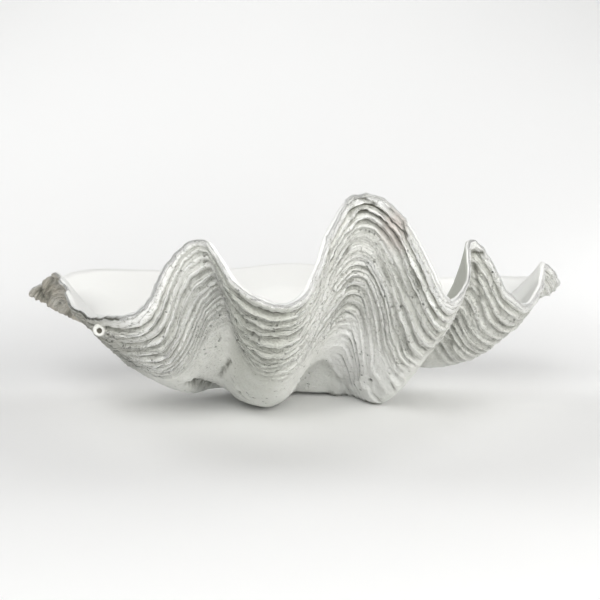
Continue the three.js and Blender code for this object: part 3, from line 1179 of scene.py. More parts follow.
@dataclass
class Relief:
    """What stands out from the smooth growth surface.

    A part is where in the lumps a value of the ledges is read, so that no two of
    them go together. A profile is 1 at a ledge's crest and lowest in the crevice under it.
    """

    ledge_height: float = 0.0021
    ledge_depth: float = 0.0030
    ledge_span: float = 0.07
    ledge_gap: float = 1.7
    uneven_height: float = 0.6
    uneven_depth: float = 0.9
    overhang: float = 1.4
    sharpness: float = 1.2
    rim_profile: Span = Span(0.5, 1.0, 0.15, -0.45)
    rim_top: Span = Span(0.8, 0.5)
    crest_part: float = 0.2
    crest_shift: float = 0.35
    crest_limits: tuple[float, float] = (0.18, 0.8)
    # top marks the top of each ledge, which is painted lighter as painted light.
    top: Span = Span(0.3, 1.0)
    # hollow marks the underside of each ledge, which is greyed as painted shade.
    hollow: Span = Span(0.4, -0.6)
    sunk: Span = Span(-0.1, -1.0)
    # Dirt and painted shade in the crevices and dashes.
    sunk_dirt_and_shade: float = 0.65
    dash_part: float = 0.5
    dash_depth: float = 0.0024
    dash_span: float = 0.010
    dash_dirt_and_shade: float = 0.6
    dashes: Span = Span(0.0, 0.45)
    crumb_part: float = 0.3
    crumb_span: float = 0.006
    crumble: float = 0.5
    lamina_height: float = 0.0005
    lamina_size: Point = (0.09, 0.09, 0.16)
    lump_heights: tuple[float, ...] = (0.0006, 0.0005, 0.00045)
    lump_sizes: tuple[float, ...] = (0.022, 0.009, 0.0042)
    patch_edge: Span = Span(1.0, 0.35)
    small_lumps: float = 0.5
    scar_shake: float = 0.004
    wander: float = 0.3
    wave_rise: float = 3.0
    wave_fade: Span = Span(19.0, 12.0)
    bends: Stray = Stray(0.12, (0.075, 0.075, 1.3), 1.5)
    rags: Stray = Stray(0.06, (0.006, 0.006, 0.6), 0.5)
    band_steps: Stretch = Stretch(0.0, 0.42, 5.0, 14.0)
    broad: LumpField = field(default_factory=lambda: LumpField(3))
    fine: LumpField = field(default_factory=lambda: LumpField(8))

    @staticmethod
    def sheet(rim: np.ndarray, step: Numbers) -> np.ndarray:
        """Lay a sheet along the ledges.

        Args:
            rim: The rim's points.
            step: The number of steps below the rim.

        Returns:
            Places to read lumps from, drawn out along the ledges. The third number is the step.
        """
        across = np.broadcast_to(step, rim.shape[:-1])
        return np.stack([rim[..., 0], rim[..., 1] + rim[..., 2], across], axis=-1)

    def strays(self, station: np.ndarray, rim: np.ndarray, step: np.ndarray) -> np.ndarray:
        """How far the ledge lines stray from their course.

        Args:
            station: Station numbers.
            rim: The rim's points at those stations.
            step: Places below the rim, in steps.

        Returns:
            The stray of each place, in steps.
        """
        angle = 2 * math.pi * station / len(RIM)
        waves = sum(tall * np.sin(count * angle + start + turn * step) for tall, count, start, turn in WAVES)
        total = self.wander * waves * np.minimum(1, step / self.wave_rise) * self.wave_fade.at(step)
        sheet = self.sheet(rim, step)
        for lumps, stray in ((self.broad, self.bends), (self.fine, self.rags)):
            total = total + stray.height * lumps.at(sheet, stray.size) * np.minimum(1, step / stray.rise)
        return total + zoned("band", station) * self.band_steps.at(step)

    def lumps(self, places: np.ndarray) -> np.ndarray:
        """Heap up lumps and crumbs.

        Args:
            places: Places on the skin.

        Returns:
            Their heights.
        """
        total = sum(h * self.fine.at(places, s) for h, s in zip(self.lump_heights, self.lump_sizes))
        for patch in PATCHES:
            away = np.linalg.norm(places - np.array(patch.centre), axis=-1) / patch.reach
            small = self.small_lumps * self.broad.at(places, patch.lump / 2)
            rough = self.fine.at(places, patch.lump) + small
            total = total + patch.height * self.patch_edge.at(away) * rough
        return total

    def scars(self, places: np.ndarray) -> tuple[np.ndarray, np.ndarray]:
        """Cut the scars.

        Args:
            places: Places on the skin.

        Returns:
            How deep each place lies in the scars, and how dark it is there, from 0 to 1.
        """
        depth, dark = np.zeros(places.shape[:-1]), np.zeros(places.shape[:-1])
        shake = self.fine.at(places, self.scar_shake)
        for scar in SCARS:
            line = [np.array(point) for point in (*scar.line, scar.line[-1])]
            gaps = []
            for a, b in zip(line, line[1:]):
                span = b - a
                share = np.clip((places - a) @ span / max(span @ span, TINY), 0, 1)
                gaps.append(np.linalg.norm(places - a - share[..., None] * span, axis=-1))
            reach = np.min(gaps, axis=0) / (scar.width * (1 + scar.ragged * shake))
            inside = np.exp(-(reach**2))
            depth += scar.depth * inside
            # Cracks and pits are darkened with dirt and painted shade.
            if scar.depth > 0:
                dark = np.maximum(dark, inside)
        return depth, dark

    @staticmethod
    def own(lumps: LumpField, sheet: np.ndarray, span: float) -> np.ndarray:
        """Random values from -1 to 1 along the ledges, each ledge with its own."""
        return lumps.at(sheet, (span, span, 1.0))

    def ledged(self, station: np.ndarray, rim: np.ndarray, number: np.ndarray) -> tuple[np.ndarray, ...]:
        """Raise the ledges.

        Args:
            station: Station numbers.
            rim: The rim's points at those stations.
            number: The ledge's number, its broken part how far down the ledge.

        Returns:
            The height, then how much dirt and painted shade the crevice holds, how near the crest and
            how hollow it is between them, each from 0 to 1.
        """
        ledge = np.floor(number)
        phase = number - ledge
        lower = ledge > 0
        sheet = self.sheet(rim, ledge * self.ledge_gap)
        bold = zoned("bold", station)
        faint = np.minimum(1, bold)
        shift = self.crest_shift * faint * self.own(self.broad, sheet + self.crest_part, self.ledge_span / 2)
        crest = np.clip(zoned("crest", station) + shift, *self.crest_limits)
        rise = np.clip(phase / crest, 0, 1) ** (self.sharpness + 2 * crest)
        fall = np.clip((phase - crest) / (1 - crest), 0, 1) ** (self.sharpness - crest)
        profile = np.where(lower, 2 * rise - 1 - self.overhang * fall, self.rim_profile.at(phase))
        crumbs = self.crumble * self.own(self.fine, sheet + self.crumb_part, self.crumb_span)
        stands = bold * (1 + self.uneven_height * self.own(self.broad, sheet, self.ledge_span) + crumbs)
        sinks = bold * (1 + self.uneven_depth * self.own(self.fine, sheet, self.ledge_span / 2))
        dashes = self.dashes.at(self.own(self.fine, sheet + self.dash_part, self.dash_span)) * faint**2
        sunk = self.sunk.at(profile)
        height = self.ledge_height * stands * np.maximum(profile, 0)
        height += self.ledge_depth * sinks * np.minimum(profile, 0) - self.dash_depth * dashes * sunk
        # Dirt and painted shade in the sunk crevices and dashes.
        dirt_and_shade = sunk * np.minimum(1, self.sunk_dirt_and_shade * sinks + self.dash_dirt_and_shade * dashes)
        # Painted light on the top of each ledge and of the rim.
        top = np.where(lower, self.top.at(profile), self.rim_top.at(phase))
        return height, dirt_and_shade, top, np.where(lower, self.hollow.at(profile), 0.0) * faint

    def lamina(self, rim: np.ndarray, step: np.ndarray) -> np.ndarray:
        """The height of the fine growth lines between the ledges."""
        return self.lamina_height * self.broad.at(self.sheet(rim, step), self.lamina_size)


@dataclass
class Wrinkles:
    """Fine wrinkles where no ledge stands out.

    The rubbed values are for the skin that is worn smooth and painted pale as painted light.
    """

    height: float = 0.0015
    size: Point = (0.045, 0.045, 0.42)
    # hollow and crease darken the wrinkles' hollows with dirt and painted shade.
    hollow: Span = Span(-0.2, -0.6)
    crease: Span = Span(-0.5, -0.75)
    # Wrinkle tops are painted lighter as painted light.
    top: Span = Span(0.1, 0.5)
    rubbed_height: float = 1.7
    rubbed_dirt_and_shade: float = 0.2
    rubbed_crease: float = 0.8

    def laid(self, waves: np.ndarray, plain: np.ndarray, worn_painted_light: np.ndarray) -> tuple[np.ndarray, ...]:
        """Lay the wrinkles.

        Args:
            waves: The random values that they follow, from -1 to 1.
            plain: How far the skin has its growth lines but no ledges.
            worn_painted_light: How far it is rubbed smooth and painted pale as painted light.

        Returns:
            Their height, then how much dirt and painted shade they hold and how much painted light whitens
            the skin, each from 0 to 1.
        """
        height = self.height * waves * (plain + self.rubbed_height * worn_painted_light)
        dirt_and_shade = self.hollow.at(waves) * (plain + self.rubbed_dirt_and_shade * worn_painted_light)
        dirt_and_shade = np.maximum(dirt_and_shade, self.rubbed_crease * self.crease.at(waves) * worn_painted_light)
        return height, dirt_and_shade, np.maximum(self.top.at(waves) * plain, worn_painted_light)


@dataclass
class Rows:
    """Rows of the outside, each array with a line for every row and a place for every column.

    step counts the ledges' steps below the rim. wall is the share of the underlip's wall, kept that
    of the growth lines that aren't worn away and the last that of the smooth skin painted pale as painted
    light.
    """

    station: np.ndarray
    step: np.ndarray
    stage: np.ndarray
    rim: np.ndarray
    points: np.ndarray
    out: np.ndarray
    wall: np.ndarray
    kept: np.ndarray
    worn_painted_light: np.ndarray


@dataclass
class Underlip:
    """The smooth wall that lies back behind an arched lip at the foot of the tallest groove.

    arch gives the stage of the lip at some stations and sides where the wall begins and ends. step
    is how abrupt the lip is, depth how far back the wall lies and foot where it starts to. reach
    is how many stations the smoothing takes in, and gap how far the wall stands off the floor.
    """

    arch: tuple[tuple[float, float], ...] = (
        (16.7, 0.52), (17.0, 0.60), (17.3, 0.60), (17.8, 0.565),
        (18.4, 0.52), (19.0, 0.464), (19.7, 0.426), (20.5, 0.406),
    )
    sides: Stretch = Stretch(16.5, 17.0, 19.8, 20.4)
    step: float = 0.025
    depth: float = 0.008
    foot: Span = Span(0.1, 0.25)
    reach: float = 0.9
    samples: int = 7
    gap: float = 0.0035

    def share(self, station: np.ndarray, stage: np.ndarray) -> np.ndarray:
        """Where the wall is, from 0 to 1, at each pair of station and stage."""
        edge = np.interp(station, *zip(*self.arch))
        return self.sides.at(station) * ramp(edge, edge - self.step, stage)

    def walled(self, growth: Growth, rows: Rows) -> np.ndarray:
        """Smooth the wall and lay it back.

        Args:
            growth: The surface that the rows lie on.
            rows: Rows of the outside.

        Returns:
            Their points, those of the wall moved.
        """
        offsets = np.linspace(-self.reach, self.reach, self.samples)
        even = np.mean([growth.grown(rows.station + offset, rows.stage) for offset in offsets], axis=0)
        back = self.depth * self.foot.at(rows.stage)[..., None]
        return rows.points + rows.wall[..., None] * (even - rows.points - rows.out * back)


@dataclass
class Tints:
    """Where the skin is beige, stained or pale green, within edges that wander."""

    edge: float = 0.012
    edge_size: float = 0.014
    tip: Span = Span(-0.218, -0.252)
    tip_fade: Span = Span(-0.150, -0.235, 0.0, 0.45)
    fade_edge: float = 2.0
    stain_middle: Point = (0.096, -0.122, 0.207)
    stain_reach: Point = (0.02, 0.03, 0.032)
    stain: Span = Span(1.1, 0.2)
    stain_edge: float = 20.0
    low: Span = Span(0.075, 0.01, 0.0, 0.6)

    def at(self, places: np.ndarray, lumps: LumpField) -> dict[str, np.ndarray]:
        """Read the masks.

        Args:
            places: Places on the skin.
            lumps: What the edges wander with.

        Returns:
            The masks of the beige tip, the stain and the pale green foot.
        """
        edge = self.edge * lumps.at(places, self.edge_size)
        fade = self.tip_fade.at(places[..., 0] + self.fade_edge * edge)
        off = np.linalg.norm((places - np.array(self.stain_middle)) / np.array(self.stain_reach), axis=-1)
        return {
            "tip": np.maximum(self.tip.at(places[..., 0] + edge), fade),
            "stain": self.stain.at(off + self.stain_edge * edge),
            "low": self.low.at(places[..., 2] + edge),
        }


@dataclass
class PaintedBowlShade:
    """Painted shade in the bowl's right end, where the inner faces turn from the light: how far it reaches
    back, left, right and down.
    """

    back: Span = Span(0.10, 0.04)
    left: Span = Span(0.12, 0.15)
    right: Span = Span(0.19, 0.21, 1.0, 0.5)
    down: Span = Span(0.085, 0.115)

    def at(self, places: np.ndarray) -> np.ndarray:
        """How thick the film is at places in the bowl, from 0 to 1."""
        x, y, z = np.moveaxis(places, -1, 0)
        return self.back.at(y) * self.left.at(x) * self.right.at(x) * self.down.at(z)


@dataclass
class Rags:
    """How ragged the rim's edge is, in growth stages. It is more so near the left tip."""

    height: float = 0.0035
    tip_height: float = 0.005
    tip: Stretch = Stretch(-2.0, 4.0, 4.0, 9.0)
    sizes: tuple[float, float] = (0.009, 0.004)
    second: float = 0.6

    def at(self, station: np.ndarray, rim: np.ndarray, lumps: LumpField) -> np.ndarray:
        """Tear the edge.

        Args:
            station: Station numbers.
            rim: The rim's points at those stations.
            lumps: What the edge is torn with.

        Returns:
            How far it stands above or below its course.
        """
        crumbs = lumps.at(rim, self.sizes[0]) + self.second * lumps.at(rim, self.sizes[1])
        return (self.height + self.tip_height * self.tip.at(station)) * crumbs


@dataclass
class Lip:
    """The rounded edge between the outside and the inside, dark for a stretch beside the left tip."""

    steps: int = 5
    bulge: float = 0.16
    crumb_height: float = 0.0005
    crumb_size: float = 0.0035
    tip: Span = Span(-0.245, -0.262)
    dark: Stretch = Stretch(4.2, 4.7, 7.2, 8.0)
    dark_part: Span = Span(0.75, 0.5)
    smooth: Span = Span(0.1, 0.7)


@dataclass
class Bowl:
    """The smooth inside.

    rows gives the growth stage of each row and how many columns lie from one of its points to the
    next. The folds are rounded away over a distance that grows downwards, sides and depth say where,
    and least_wall is the share of the thickness that they leave. shares says how far from the
    middle the rings of the floor lie.
    """

    rows: tuple[tuple[float, int], ...] = (
        (1.0, 1), (0.97, 2), (0.93, 2), (0.88, 4), (0.83, 4), (0.78, 4),
        (0.73, 4), (0.68, 4), (0.63, 4), (0.58, 4), (0.53, 4), (0.49, 4),
    )
    rags: Span = Span(0.9, 1.0)
    rim_round: Span = Span(1.02, 0.85, 0.0, 0.009)
    deep_round: Span = Span(0.90, 0.49, 0.0, 0.024)
    sides: Stretch = Stretch(4.0, 8.0, 35.0, 39.0)
    depth: Span = Span(0.9, 0.7)
    least_wall: float = 0.65
    film: PaintedBowlShade = field(default_factory=PaintedBowlShade)
    floor_round: float = 0.12
    least_round: float = 0.001
    middle: Point = (-0.004, 0.106, 0.046)
    hollow: float = 1.5
    shares: tuple[float, ...] = (0.93, 0.85, 0.76, 0.66, 0.55, 0.44, 0.33, 0.22, 0.11)


@dataclass
class Valve:
    """The shell itself: ledges outside, a rounded lip and a smooth bowl.

    wider and ragged say over which steps the ledges' extra width and the rim's rags die out. The
    growth lines ease in from kept_below under the fading stage to kept_above over it, and the
    ledges have their full height from full_depth on. deepest is the share of the wall that the
    relief may cut into, and worn_lamina what is left of the lamina where the skin is worn.
    """

    growth: Growth = field(default_factory=Growth)
    ledges: Ledges = field(default_factory=Ledges)
    relief: Relief = field(default_factory=Relief)
    wrinkles: Wrinkles = field(default_factory=Wrinkles)
    underlip: Underlip = field(default_factory=Underlip)
    tints: Tints = field(default_factory=Tints)
    rags: Rags = field(default_factory=Rags)
    lip: Lip = field(default_factory=Lip)
    bowl: Bowl = field(default_factory=Bowl)
    front_columns: int = 468
    hinge_columns: int = 36
    base_stages: tuple[float, ...] = (0.025, 0.05, 0.075, 0.1, 0.125, 0.15, 0.175, 0.2, 0.225, 0.25)
    base_columns: int = 4
    lower_columns: int = 2
    wider: Span = Span(20.0, 6.0)
    ragged: Span = Span(1.5, 0.0)
    kept_below: float = 0.05
    kept_above: float = 0.07
    full_depth: Span = Span(0.87, 0.96)
    worn_lamina: float = 0.25
    wall_smooth: float = 0.7
    deepest: float = 0.6
    # Painted shade under the crest of each ledge.
    hollow_painted_shade: float = 0.3
    # Painted contact shadow: a thin dark line where the skin meets the floor.
    floor_contact_shadow: float = 0.9
    floor_edge: Span = Span(0.0045, 0.0015)
    columns: np.ndarray = field(init=False)
    skin: Skin = field(init=False)

    def __post_init__(self) -> None:
        """Lay out the columns of the grid."""
        front = self.growth.rim.spread(0, FIRST_HINGE_STATION, self.front_columns)
        hinge = self.growth.rim.spread(FIRST_HINGE_STATION, len(RIM), self.hinge_columns)
        self.columns = np.concatenate([front, hinge])
        self.skin = Skin(SHELL_MASKS)

    def thickness(self, station: np.ndarray, stage: np.ndarray) -> np.ndarray:
        """Measure the wall, which is thinner towards the rim.

        Args:
            station: Station numbers.
            stage: Growth stages.

        Returns:
            How thick the shell is at each pair of station and stage.
        """
        lip = self.growth.flank("lip", station)
        share = ramp(self.growth.thinning_stage, 1, stage)
        return np.maximum(self.growth.wall, lip) * (1 - share) + lip * share

    def torn(self, station: np.ndarray) -> np.ndarray:
        """How far the rim's edge stands above or below its course, in growth stages."""
        return self.rags.at(station, self.growth.rim.at(station), self.relief.fine)

    def tinted(self, places: np.ndarray) -> dict[str, np.ndarray]:
        """The masks of the tip, the stain and the foot at places on the skin."""
        return self.tints.at(places, self.relief.broad)

    @staticmethod
    def settled(points: np.ndarray, lowest: Numbers = 0.0) -> np.ndarray:
        """The points, none of them lower than they may be."""
        return np.concatenate([points[..., :2], np.maximum(points[..., 2], lowest)[..., None]], axis=-1)

    def add_outside(self) -> None:
        """Add the outside from the umbo up to the rim."""
        self.skin.add(np.array([self.growth.umbo]))
        columns = self.columns[:: self.base_columns]
        for stage in self.base_stages:
            ring = self.settled(self.growth.grown(columns, np.full(len(columns), stage)))
            self.skin.add(ring, **self.tinted(ring))
        steps, numbers = self.ledges.upper_rows()
        self.add_rows(self.rows(self.columns[:: self.lower_columns], self.ledges.lower_rows()[::-1]))
        self.add_rows(self.rows(self.columns, steps[::-1]), numbers[::-1])

    def rows(self, columns: np.ndarray, steps: np.ndarray) -> Rows:
        """Place rows of the outside on the growth surface.

        Args:
            columns: The station numbers of the columns.
            steps: The rows' places below the rim, in steps.

        Returns:
            The rows, still without relief.
        """
        station, step = np.meshgrid(columns, steps)
        rim = self.growth.rim.at(station)
        down = step * (1 + zoned("wide", station) * self.wider.at(step))
        down = down + self.relief.strays(station, rim, step)
        stage = 1 - self.ledges.stage * down + self.torn(station) * self.ragged.at(step)
        points = self.growth.grown(station, stage)
        _, _, out = self.growth.axes(station, stage)
        wall = self.underlip.share(station, stage)
        fade = zoned("fade", station)
        kept = ramp(fade - self.kept_below, fade + self.kept_above, stage)
        # Smooth skin that is painted pale as painted light.
        worn_painted_light = zoned("rubbed_painted_light", station) * (1 - kept) * (1 - wall)
        return Rows(station, step, stage, rim, points, out, wall, kept, worn_painted_light)

    def ledged(self, rows: Rows, numbers: np.ndarray | None) -> tuple[np.ndarray, ...]:
        """Raise the ledges of rows that have them.

        Args:
            rows: Rows of the outside.
            numbers: The numbers of the rows' ledges, if they have ledges.

        Returns:
            The ledges' share of the skin and their height, then how much dirt and painted shade, how near
            the crest and how hollow it is there, each from 0 to 1.
        """
        if numbers is None:
            return (np.zeros(rows.step.shape),) * 5
        deep = zoned("deep", rows.station)
        deep = deep + (1 - deep) * self.full_depth.at(rows.stage)
        share = rows.kept * deep * (1 - rows.wall) * accented(rows.station, rows.stage)
        height, dirt_and_shade, top, hollow = self.relief.ledged(rows.station, rows.rim, numbers[:, None])
        return share, height * share, dirt_and_shade * share, top * share, hollow * np.minimum(1, share)

    def add_rows(self, rows: Rows, numbers: np.ndarray | None = None) -> None:
        """Add rows of the outside.

        Args:
            rows: The rows, from the lowest up.
            numbers: The numbers of the rows' ledges, if they have ledges.
        """
        share, ledge, dirt_and_shade, top, hollow = self.ledged(rows, numbers)
        left = self.worn_lamina + (1 - self.worn_lamina) * rows.kept
        lumps = self.relief.lumps(rows.points) + self.relief.lamina(rows.rim, rows.step) * left
        lumps = lumps * (1 - self.wall_smooth * rows.wall)
        waves = self.relief.fine.at(self.relief.sheet(rows.rim, rows.step), self.wrinkles.size)
        plain = np.maximum(rows.kept - share, 0)
        wrinkle, wrinkle_dirt_and_shade, painted_pale_light = self.wrinkles.laid(waves, plain, rows.worn_painted_light)
        depth, dark = self.relief.scars(rows.points)
        deepest = self.deepest * self.thickness(rows.station, rows.stage)
        height = np.maximum(lumps + ledge + wrinkle - depth, -deepest)
        moved = nudges(rows.points) + rows.out * height[..., None]
        points = self.settled(self.underlip.walled(self.growth, rows) + moved, self.underlip.gap * rows.wall)
        # Painted contact shadow along the floor.
        dark = np.maximum(dark, self.floor_contact_shadow * self.floor_edge.at(points[..., 2]))
        # Painted shade: zones of the skin and the underside of each ledge are greyed.
        painted_shade = zoned("painted_shade", rows.station) * (1 - rows.wall)
        masks = {
            # Dirt and painted shade in crevices, wrinkle hollows and scars.
            "crevice": np.maximum(np.maximum(dirt_and_shade, wrinkle_dirt_and_shade), dark),
            # Painted light on ledge and wrinkle tops and on the rubbed skin.
            "crest": np.maximum(top, painted_pale_light),
            "painted_shade": painted_shade + (1 - painted_shade) * self.hollow_painted_shade * hollow,
            "wear": np.maximum(rows.kept, self.wrinkles.rubbed_dirt_and_shade * rows.worn_painted_light),
            "ledge": rows.step,
        }
        for i, ring in enumerate(points):
            self.skin.add(ring, **{name: mask[i] for name, mask in masks.items()}, **self.tinted(ring))

    def add_lip(self) -> None:
        """Add the rounded lip between the outside and the inside."""
        lip = self.lip
        edge = self.skin.rings[-1]
        _, up, out = self.growth.axes(self.columns, 1 + self.torn(self.columns))
        thick = self.growth.flank("lip", self.columns)[:, None]
        for step in range(1, lip.steps):
            share = step / lip.steps
            ring = edge - out * thick * share + up * thick * lip.bulge * math.sin(math.pi * share)
            crumbs = self.relief.lumps(ring) + lip.crumb_height * self.relief.fine.at(ring, lip.crumb_size)
            ring = ring + up * crumbs[:, None]
            dark = lip.dark.at(self.columns) * lip.dark_part.at(share)
            masks = self.tinted(ring) | {"crevice": dark, "inside": lip.smooth.at(share) * (1 - dark)}
            masks["tip"] = masks["tip"] * lip.tip.at(ring[:, 0])
            # The lip is painted with the crest's painted light.
            self.skin.add(ring, wear=1.0, crest=1.0, ledge=-share, **masks)

    @staticmethod
    def rounded(ring: np.ndarray, reach: float) -> np.ndarray:
        """Round the folds of a ring.

        Args:
            ring: The points of the ring.
            reach: How far the rounding reaches, in metres.

        Returns:
            The points, each the mean of those near it on the ring.
        """
        gaps = np.linalg.norm(np.roll(ring, -1, axis=0) - ring, axis=1)
        place = np.concatenate([[0], np.cumsum(gaps)])
        away = np.abs(place[:-1, None] - place[None, :-1])
        away = np.minimum(away, place[-1] - away)
        weight = np.exp(-((away / reach) ** 2)) * (gaps + np.roll(gaps, 1))
        return weight @ ring / weight.sum(axis=1, keepdims=True)

    def add_walls(self) -> None:
        """Add the inside from the lip down to the edge of the bowl's floor."""
        bowl, fold = self.bowl, self.growth.inner_fold
        for k, gap in bowl.rows:
            station = self.columns[::gap]
            stage = k + self.torn(station) * bowl.rags.at(k)
            thick = self.thickness(station, np.full(len(station), k))
            _, _, out = self.growth.axes(station, stage, fold)
            ring = self.growth.grown(station, stage, fold) - out * thick[:, None]
            even = self.rounded(ring, float(bowl.rim_round.at(k) + bowl.deep_round.at(k)))
            share = np.maximum(bowl.sides.at(station), bowl.depth.at(k))
            ring = ring + (even - ring) * share[:, None]
            shell = self.growth.grown(station, stage)
            _, _, out = self.growth.axes(station, stage)
            behind = np.sum((shell - ring) * out, axis=1)
            ring = ring - out * np.maximum(0, bowl.least_wall * thick - behind)[:, None]
            # The bowl's right end gets painted shade.
            self.skin.add(ring + nudges(shell), inside=1.0, film=bowl.film.at(ring))

    def add_floor(self) -> None:
        """Close the bowl with rings round its middle."""
        bowl = self.bowl
        edge = self.skin.rings[-1]
        middle = np.array(bowl.middle)
        for share in bowl.shares:
            even = self.rounded(edge, bowl.floor_round * (1 - share) + bowl.least_round)
            ring = middle + (even - middle) * share
            ring[:, 2] = middle[2] + (even[:, 2] - middle[2]) * share**bowl.hollow
            self.skin.add(ring, inside=1.0)
        self.skin.add(middle[None], inside=1.0)

    def build(self, material: bpy.types.Material) -> bpy.types.Object:
        """Build and dress the shell.

        Args:
            material: Its finish.

        Returns:
            The finished object.
        """
        self.add_outside()
        self.add_lip()
        self.add_walls()
        self.add_floor()
        return self.skin.build("clam_shell", material)


@dataclass
class WormTube:
    """The chalk ring that a tube worm left near the rim.

    section gives the radius and the height of each ring over its foot, from the bore outwards. The
    rings turn lopsided one by one, and none goes deeper into the shell than root.
    """

    growth: Growth = field(default_factory=Growth)
    station: float = 6.32
    stage: float = 0.970
    sides: int = 36
    section: tuple[tuple[float, float], ...] = (
        (0.0021, 0.0000), (0.0025, 0.0026), (0.0031, 0.0038), (0.0040, 0.0044), (0.0050, 0.0042),
        (0.0060, 0.0032), (0.0065, 0.0014), (0.0066, -0.0030), (0.0064, -0.0120),
    )
    lopsided: float = 0.16
    lopsided_turn: float = 2.4
    lopsided_ring: int = 4
    dark_rings: int = 2
    lift: float = 0.0050
    root: float = 0.0030
    lump_height: float = 0.0008
    lump_size: float = 0.003
    lumps: LumpField = field(default_factory=lambda: LumpField(21))
    facing: Point = (-0.10, -0.95, 0.10)

    def build(self, material: bpy.types.Material) -> bpy.types.Object:
        """Build and dress the ring.

        Args:
            material: Its finish.

        Returns:
            The finished object.
        """
        station, stage = np.array([self.station]), np.array([self.stage])
        base = self.growth.grown(station, stage)
        _, _, normal = self.growth.axes(station, stage)
        middle = base + self.lift * normal
        out = unit(np.array([self.facing]))
        along = unit(np.cross(out, np.array([[0.0, 0.0, 1.0]])))
        up = np.cross(out, along)
        skin = Skin(("crevice",))
        angle = 2 * math.pi * np.arange(self.sides)[:, None] / self.sides
        # The bore is darkened with dirt and painted shade.
        skin.add(middle + out * self.section[0][1], crevice=1.0)
        for number, (radius, height) in enumerate(self.section):
            uneven = self.lopsided * np.sin(angle + self.lopsided_turn) * min(1, number / self.lopsided_ring)
            spoke = (along * np.cos(angle) + up * np.sin(angle)) * radius * (1 + uneven)
            ring = middle + spoke + out * height
            ring = ring + out * (self.lump_height * self.lumps.at(ring, self.lump_size))[:, None]
            sunk = np.sum((base - ring) * normal, axis=1)
            ring = ring + normal * np.maximum(0, sunk - self.root)[:, None]
            skin.add(ring, crevice=1.0 if number < self.dark_rings else 0.0)
        skin.add(ring.mean(axis=0, keepdims=True))
        return skin.build("worm_tube", material)


@dataclass(frozen=True)
class Lamp:
    """A square soft light: its place, what it faces, its size, power and tint."""

    name: str
    place: Point
    aim: Point
    size: float
    power: float
    tint: Colour = (1.0, 1.0, 1.0)


SHELL_MIDDLE = (0.005, 0.007, 0.120)
WARM = (1.0, 0.99, 0.97)
GREENISH = (0.97, 1.0, 0.96)
LAMPS = (
    Lamp("key", (1.5, -1.2, 1.0), SHELL_MIDDLE, 1.0, 8.0, WARM),
    Lamp("key_front", (1.1, -1.9, 0.8), SHELL_MIDDLE, 1.0, 6.0, WARM),
    Lamp("right_low", (1.3, -1.3, 0.35), SHELL_MIDDLE, 0.8, 8.0, WARM),
    Lamp("right_back", (1.5, 1.2, 1.6), SHELL_MIDDLE, 1.2, 15.0),
    Lamp("left_back", (-1.5, 1.2, 1.6), SHELL_MIDDLE, 1.2, 16.5),
    Lamp("front_low", (0.2, -2.4, 0.30), SHELL_MIDDLE, 1.2, 12.0, GREENISH),
    Lamp("front_high", (0.0, -2.2, 1.3), SHELL_MIDDLE, 1.0, 17.0),
    Lamp("left_low", (-1.8, -1.0, 0.5), SHELL_MIDDLE, 1.2, 5.0),
    Lamp("backdrop", (-0.2, 1.6, 2.4), (0.0, 3.6, 1.0), 2.0, 26.5),
    Lamp("floor", (-0.4, -1.6, 1.6), (-0.15, -0.70, 0.0), 1.0, 14.0),
    Lamp("floor_right", (0.72, 0.75, 0.5), (0.72, 0.751, 0.0), 0.3, 0.8),
    Lamp("floor_left", (-0.72, 0.75, 0.5), (-0.72, 0.751, 0.0), 0.3, 0.35),
)


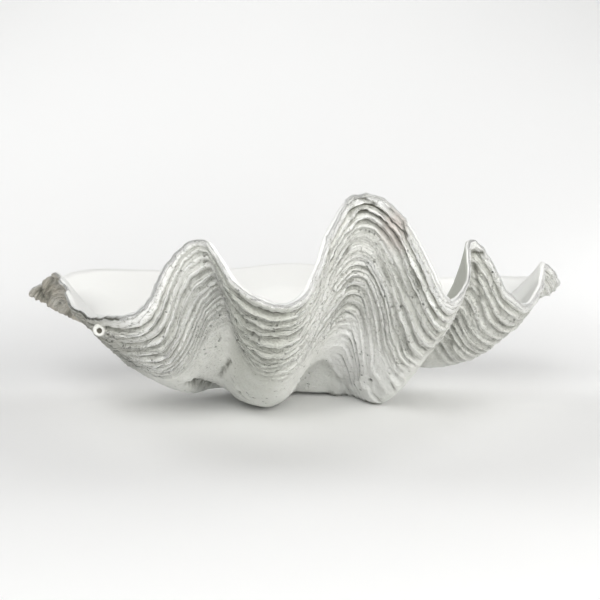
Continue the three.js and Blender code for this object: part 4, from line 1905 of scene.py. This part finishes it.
@dataclass
class Studio:
    """The camera at the photo's angle, a pale floor and soft light."""

    target: Point = SHELL_MIDDLE
    distance: float = 1.6
    elevation: float = math.radians(9.0)
    lens: float = 90.54
    sensor: float = 36.0
    nearest: float = 0.01
    floor_half: float = 8.0
    floor_back: float = 0.7
    sweep: float = 2.9
    sweep_lines: int = 65
    wall_height: float = 3.2
    room: Colour = (0.97, 1.0, 0.98)
    room_strength: float = 0.02

    def camera(self) -> None:
        """Set up the camera."""
        data = bpy.data.cameras.new("photo_camera")
        data.lens, data.sensor_width, data.clip_start = self.lens, self.sensor, self.nearest
        made = bpy.data.objects.new("photo_camera", data)
        back = Vector((0, -math.cos(self.elevation), math.sin(self.elevation)))
        made.location = Vector(self.target) + back * self.distance
        made.rotation_euler = (math.pi / 2 - self.elevation, 0, 0)
        bpy.context.scene.collection.objects.link(made)
        bpy.context.scene.camera = made

    def floor(self, material: bpy.types.Material) -> None:
        """Lay the floor, which curves up behind the shell.

        Args:
            material: Its finish.
        """
        arc = np.linspace(0, math.pi / 2, self.sweep_lines)
        line = [(-self.floor_half, 0.0)]
        line += [(self.floor_back + self.sweep * math.sin(a), self.sweep * (1 - math.cos(a))) for a in arc]
        line += [(self.floor_back + self.sweep, self.wall_height)]
        points = [(x, y, z) for y, z in line for x in (-self.floor_half, self.floor_half)]
        faces = [(2 * i, 2 * i + 1, 2 * i + 3, 2 * i + 2) for i in range(len(line) - 1)]
        mesh = bpy.data.meshes.new("studio_floor")
        mesh.from_pydata(points, [], faces)
        mesh.shade_smooth()
        mesh.materials.append(material)
        made = bpy.data.objects.new("studio_floor", mesh)
        bpy.context.scene.collection.objects.link(made)

    def hang(self, lamp: Lamp) -> None:
        """Hang one square soft light.

        Args:
            lamp: Where it hangs, what it faces and how strong it is.
        """
        data = bpy.data.lights.new(lamp.name, "AREA")
        data.energy, data.size, data.color = lamp.power, lamp.size, lamp.tint
        made = bpy.data.objects.new(lamp.name, data)
        made.location = lamp.place
        facing = Vector(lamp.aim) - Vector(lamp.place)
        made.rotation_euler = facing.to_track_quat("-Z", "Y").to_euler()
        bpy.context.scene.collection.objects.link(made)

    def light(self) -> None:
        """Hang the lamps in a pale room."""
        for lamp in LAMPS:
            self.hang(lamp)
        world = bpy.data.worlds.new("pale_room")
        world.use_nodes = True
        shade = world.node_tree.nodes["Background"]
        shade.inputs["Color"].default_value = (*self.room, 1.0)
        shade.inputs["Strength"].default_value = self.room_strength
        scene = bpy.context.scene
        scene.world = world
        scene.view_settings.view_transform = "Standard"


def main() -> None:
    """Build the studio and the shell, and write down how large the result is."""
    logging.basicConfig(level=logging.INFO, format="%(message)s")
    studio = Studio()
    studio.camera()
    studio.floor(FloorFinish().material())
    studio.light()
    grain, dirt_and_shade = ChalkGrain().group(), SettledDirtAndShade().group()
    pieces = (
        Valve().build(ShellFinish().material(grain, dirt_and_shade)),
        WormTube().build(TubeFinish().material(grain, dirt_and_shade)),
    )
    for piece in pieces:
        LOG.info("%s: %d triangles", piece.name, sum(len(p.vertices) - 2 for p in piece.data.polygons))


if __name__ == "__main__":
    main()
